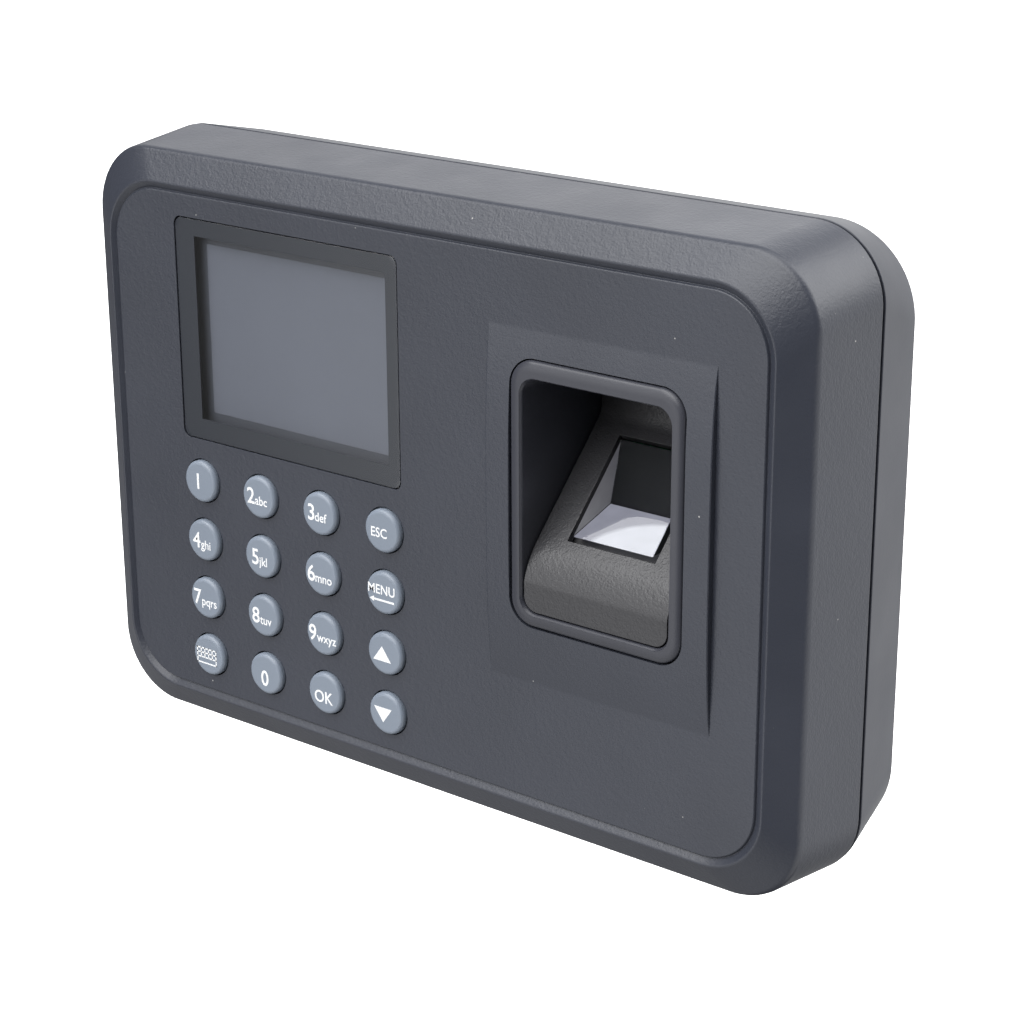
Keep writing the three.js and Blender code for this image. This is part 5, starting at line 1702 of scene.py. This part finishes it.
@dataclass
class WallPlate:
    """The sheet steel plate with two hooks and a tab, and its pocket in the cover."""

    thickness: float = 1.2
    radius: float = 4.0
    gap: float = 0.3
    floor: float = 2.4
    hole: float = 4.0
    hole_spacing: float = 60.0
    hook_width: float = 10.0
    hook_spacing: float = 68.0
    hook_drop: float = 9.0
    hook_reach: float = 4.8
    hook_lip: float = 5.0
    hook_entry: float = 7.0
    tab_width: float = 12.0
    tab_reach: float = 9.3
    lock_bore: float = 1.8
    lock_head_bore: float = 3.1
    lock_head_depth: float = 1.5
    below_case: float = -70.0
    plate: Span = field(default_factory=lambda: Span.of("wall_plate"))
    lock: Span = field(default_factory=lambda: Span.of("plate_lock_screw"))

    @property
    def hook_z(self) -> float:
        """Height of the top of the hooks' arms."""
        return self.plate.high[2] - self.hook_drop

    def outline(self, grow: float = 0.0) -> Section:
        """The plate's outline, larger by an amount."""
        return Section(0, self.plate.size[0] / 2, self.plate.size[2] / 2, self.radius).grown(grow, 0)

    def pocket_walls(self, case: Case) -> list[bpy.types.Mesh]:
        """The raised inside of the pocket, and the boss for the locking screw.

        Args:
            case: The case whose cover holds them.

        Returns:
            The pocket's back and the boss.
        """
        x, _, z = self.plate.middle
        width, height = self.plate.size[0] / 2 + case.wall, self.plate.size[2] / 2 + case.wall
        floor_y = -self.thickness - self.gap - self.floor
        back = block(x - width, x + width, floor_y, -1.2, z - height, z + height)
        lock_y = self.lock.middle[1]
        boss = block(-self.tab_width / 2, self.tab_width / 2, lock_y - 5, -1.3,
                     self.lock.low[2] + 0.8, self.plate.low[2] - self.gap)
        return [back, boss]

    def pocket_cutters(self, case: Case) -> list[bpy.types.Mesh]:
        """The pocket, the slots for the hooks and the tab, and the locking screw's bore.

        Args:
            case: The case whose cover they cut; not used.

        Returns:
            Every cutter.
        """
        x, _, z = self.plate.middle
        pocket_y = -self.thickness - self.gap
        pocket = loft([
            self.outline(self.gap).grown(0, pocket_y), self.outline(self.gap).grown(0, -0.4, 0.2),
            self.outline(self.gap).grown(0.4, 0, 0.1), self.outline(self.gap).grown(0.4, 2),
        ], x, z)
        cutters = [pocket]
        for side in (-1, 1):
            middle, half = side * self.hook_spacing / 2, self.hook_width / 2 + self.gap
            cutters.append(block(middle - half, middle + half, pocket_y - self.floor - 1, pocket_y + 0.5,
                                 self.hook_z + self.gap - self.hook_entry, self.hook_z + self.gap))
        half = self.tab_width / 2 + self.gap
        bottom = self.plate.low[2]
        cutters.append(block(-half, half, -self.tab_reach - self.thickness - self.gap, pocket_y + 0.5,
                             bottom - self.gap, bottom + self.thickness + self.gap))
        lock_x, lock_y, _ = self.lock.middle
        head_end = self.lock.low[2] + self.lock_head_depth
        cutters.append(upright(self.lock_bore, self.lock.low[2], bottom, lock_x, lock_y, 32))
        cutters.append(upright(self.lock_head_bore, self.below_case, head_end, lock_x, lock_y, 32))
        return cutters

    def build(self) -> None:
        """Builds the plate with its hooks, tab and holes."""
        x, _, z = self.plate.middle
        sheet = prism(-self.thickness, 0, self.outline(), x, z)
        bottom = self.plate.low[2]
        parts = [block(-self.tab_width / 2, self.tab_width / 2, -self.tab_reach - self.thickness, -0.6,
                       bottom, bottom + self.thickness)]
        tip_y, under = -self.thickness - self.hook_reach, self.hook_z - self.thickness
        for side in (-1, 1):
            x0 = side * self.hook_spacing / 2 - self.hook_width / 2
            x1 = x0 + self.hook_width
            parts.append(block(x0, x1, tip_y, -0.6, under, self.hook_z))
            parts.append(block(x0, x1, tip_y, tip_y + self.thickness, under, under + self.hook_lip))
        half = self.hole_spacing / 2
        holes = [post(self.hole / 2, -5, 5, sx * half, z + sz * half) for sx in (-1, 1) for sz in (-1, 1)]
        tab_hole = upright(self.lock_bore, -80, -40, 0, self.lock.middle[1], 24)
        mesh = carve(carve(sheet, parts, Cut.JOIN), [*holes, tab_hole], Cut.REMOVE)
        piece("mounting_plate", shaded(eased(mesh, 0.15)), STEEL, stands_for=["wall_plate"])


@dataclass
class Ports:
    """The socket and jack in the lower wall."""

    gap: float = 0.3

    def windows(self, case: Case) -> list[bpy.types.Mesh]:
        """The openings in the lower wall in front of the socket and the jack.

        Args:
            case: The case that they cut.

        Returns:
            One cutter for each port.
        """
        cutters = []
        for node in ("usb_socket", "power_jack"):
            span = Span.of(node)
            cutters.append(block(span.low[0] - self.gap, span.high[0] + self.gap, span.low[1] - self.gap,
                                 span.high[1] + self.gap, -70, case.rear.low[2] + 6.2))
        return cutters


@dataclass
class Fasteners:
    """Every screw, grown in one mesh for each kind."""

    def build(self) -> None:
        """Grows the case screws, the board screws and the locking screw."""
        rearward = (-math.pi / 2, 0.0, 0.0)
        kinds = (("case_screws", "case_screw", Screw(6.0, 2.1, 3.0, 22.0)),
                 ("board_screws", "board_screw", Screw(4.6, 1.5, 2.4, 8.0)))
        for name, node, screw in kinds:
            nodes = [f"{node}_{number}" for number in range(1, 5)]
            spans = [Span.of(one) for one in nodes]
            places = [(span.middle[0], span.high[1], span.middle[2]) for span in spans]
            mesh = screw.grown(name, places, rearward, NICKEL)
            piece(name, shaded(mesh), NICKEL, stands_for=nodes)
        lock = Span.of("plate_lock_screw")
        mesh = Screw(5.6, 1.2, 3.0, 6.5).grown(
            "plate_screw", [(lock.middle[0], lock.middle[1], lock.low[2])], (math.pi, 0.0, 0.0), NICKEL)
        piece("plate_screw", shaded(mesh), NICKEL, stands_for=["plate_lock_screw"])


@dataclass
class Electronics:
    """The CAD's own inner pieces, kept as they are and given their materials."""

    finishes: dict[str, Finish] = field(default_factory=lambda: {
        "board": BOARD, "ribbon": FILM, "processor": CHIP, "chip": CHIP, "holder": BLACK_PLASTIC,
        "mat": SILICONE, "backlight": WHITE_PLASTIC, "diffuser": WHITE_PLASTIC, "light": WHITE_PLASTIC,
        "frame": STEEL, "socket": NICKEL, "jack": BLACK_PLASTIC, "cell": NICKEL, "speaker": BLACK_PLASTIC,
        "cradle": BLACK_PLASTIC, "camera": BLACK_PLASTIC,
    })

    def build(self) -> None:
        """Gives each shown CAD node the finish that its name calls for."""
        for name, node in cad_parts.items():
            if node.hide_render:
                continue
            finish = next((kind for word, kind in self.finishes.items() if word in name), BLACK_PLASTIC)
            node.data.materials.clear()
            node.data.materials.append(finish.material())
            log.info("%s keeps its CAD shape, in %s", name, finish.name)


# ---- The studio ----

@dataclass(frozen=True)
class Glow:
    """A soft patch of light on the sky, placed from the terminal's front."""

    azimuth: float
    elevation: float
    reach: float
    strength: float

    @property
    def direction(self) -> Point:
        """The way to the middle of the patch."""
        turn, lift = math.radians(self.azimuth), math.radians(self.elevation)
        return math.sin(turn) * math.cos(lift), -math.cos(turn) * math.cos(lift), math.sin(lift)


@dataclass
class Studio:
    """A pale floor far below the terminal, soft light all round and the camera."""

    camera_place: Point = (300.096, -388.314, 162.426)
    camera_target: Point = (25.311, -37.5, 4.473)
    camera_roll: float = math.radians(-0.25)
    lens: float = 86.003
    floor_drop: float = 450.0
    floor_half: float = 9000.0
    dimmest: float = 0.03
    glows: tuple[Glow, ...] = (
        Glow(180, 0, 38, 0.95), Glow(128, -8, 30, 0.7), Glow(-140, 35, 25, 0.97), Glow(130, 38, 25, 4.2),
        Glow(-22, -12, 18, 1.3), Glow(-8, 40, 22, 5.2), Glow(70, 80, 25, 2.6), Glow(-52, 50, 13, 5.0),
        Glow(-36, 8, 14, 1.6), Glow(-20, -48, 25, 0.8), Glow(-95, -45, 28, 0.36), Glow(90, -45, 28, 1.2),
    )

    def build_world(self) -> None:
        """Hangs the soft lights on the sky, and shows plain white to the camera."""
        world = bpy.data.worlds.new("room")
        world.use_nodes = True
        bpy.context.scene.world = world
        tree = Tree(world.node_tree)
        way = tree.add("ShaderNodeTexCoord").outputs["Generated"]
        total: object = self.dimmest
        for glow in self.glows:
            facing = tree.add("ShaderNodeVectorMath", {0: way, 1: glow.direction}, operation="DOT_PRODUCT")
            light_patch = tree.add("ShaderNodeMapRange", {
                "Value": facing.outputs["Value"], "From Min": math.cos(math.radians(1.5 * glow.reach)),
                "From Max": math.cos(math.radians(0.5 * glow.reach)), "To Min": 0.0, "To Max": glow.strength,
            }, interpolation_type="SMOOTHSTEP")
            total = tree.add("ShaderNodeMath", {0: total, 1: light_patch.outputs["Result"]},
                             operation="ADD").outputs[0]
        room = tree.add("ShaderNodeBackground", {"Color": (1, 1, 1, 1), "Strength": total})
        plain = tree.add("ShaderNodeBackground", {"Color": (1, 1, 1, 1), "Strength": 1.0})
        seen = tree.add("ShaderNodeLightPath").outputs["Is Camera Ray"]
        mix = tree.add("ShaderNodeMixShader", {
            0: seen, 1: room.outputs["Background"], 2: plain.outputs["Background"]})
        tree.add("ShaderNodeOutputWorld", {"Surface": mix.outputs["Shader"]})

    def build_floor(self) -> None:
        """Lays the pale floor, which the camera sees but the terminal does not mirror."""
        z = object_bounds()[0].z / MM - self.floor_drop
        half = self.floor_half
        floor = linked("floor", block(-half, half, -half, half, z - 10, z))
        shader = Shader("pale_floor")
        body = shader.add("ShaderNodeBsdfPrincipled", {
            "Base Color": (0.85, 0.85, 0.85, 1.0), "Roughness": 0.9,
            "Emission Color": (1, 1, 1, 1), "Emission Strength": 0.5})
        floor.data.materials.append(shader.finished(body.outputs["BSDF"]))
        floor.visible_diffuse = floor.visible_glossy = floor.visible_transmission = False
        floor.visible_shadow = False
        floor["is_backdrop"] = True

    def build_camera(self) -> None:
        """Sets up the camera."""
        camera = bpy.data.objects.new("camera", bpy.data.cameras.new("camera"))
        bpy.context.scene.collection.objects.link(camera)
        camera.data.lens = self.lens
        camera.data.sensor_width = 36.0
        camera.data.clip_start, camera.data.clip_end = 0.01, 100.0
        camera.location = Vector(self.camera_place) * MM
        forward = Vector(self.camera_target) - Vector(self.camera_place)
        camera.rotation_mode = "QUATERNION"
        camera.rotation_quaternion = (forward.to_track_quat("-Z", "Y")
                                      @ Quaternion((0, 0, 1), self.camera_roll))
        bpy.context.scene.camera = camera

    def build(self) -> None:
        """Builds the room, the floor and the camera."""
        bpy.context.scene.view_settings.view_transform = "Standard"
        self.build_world()
        self.build_floor()
        self.build_camera()


def main() -> None:
    """Builds the whole terminal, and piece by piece."""
    logging.basicConfig(level=logging.INFO, format="%(message)s")
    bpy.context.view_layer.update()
    case, display, keypad, sensor = Case(), Display(), Keypad(), FingerSensor()
    plate, ports = WallPlate(), Ports()
    case.front_shell(display, keypad, sensor)
    case.back_cover(plate, ports)
    display.build()
    keypad.build()
    sensor.build(case)
    plate.build()
    Fasteners().build()
    Electronics().build()
    Studio().build()


if __name__ == "__main__":
    main()
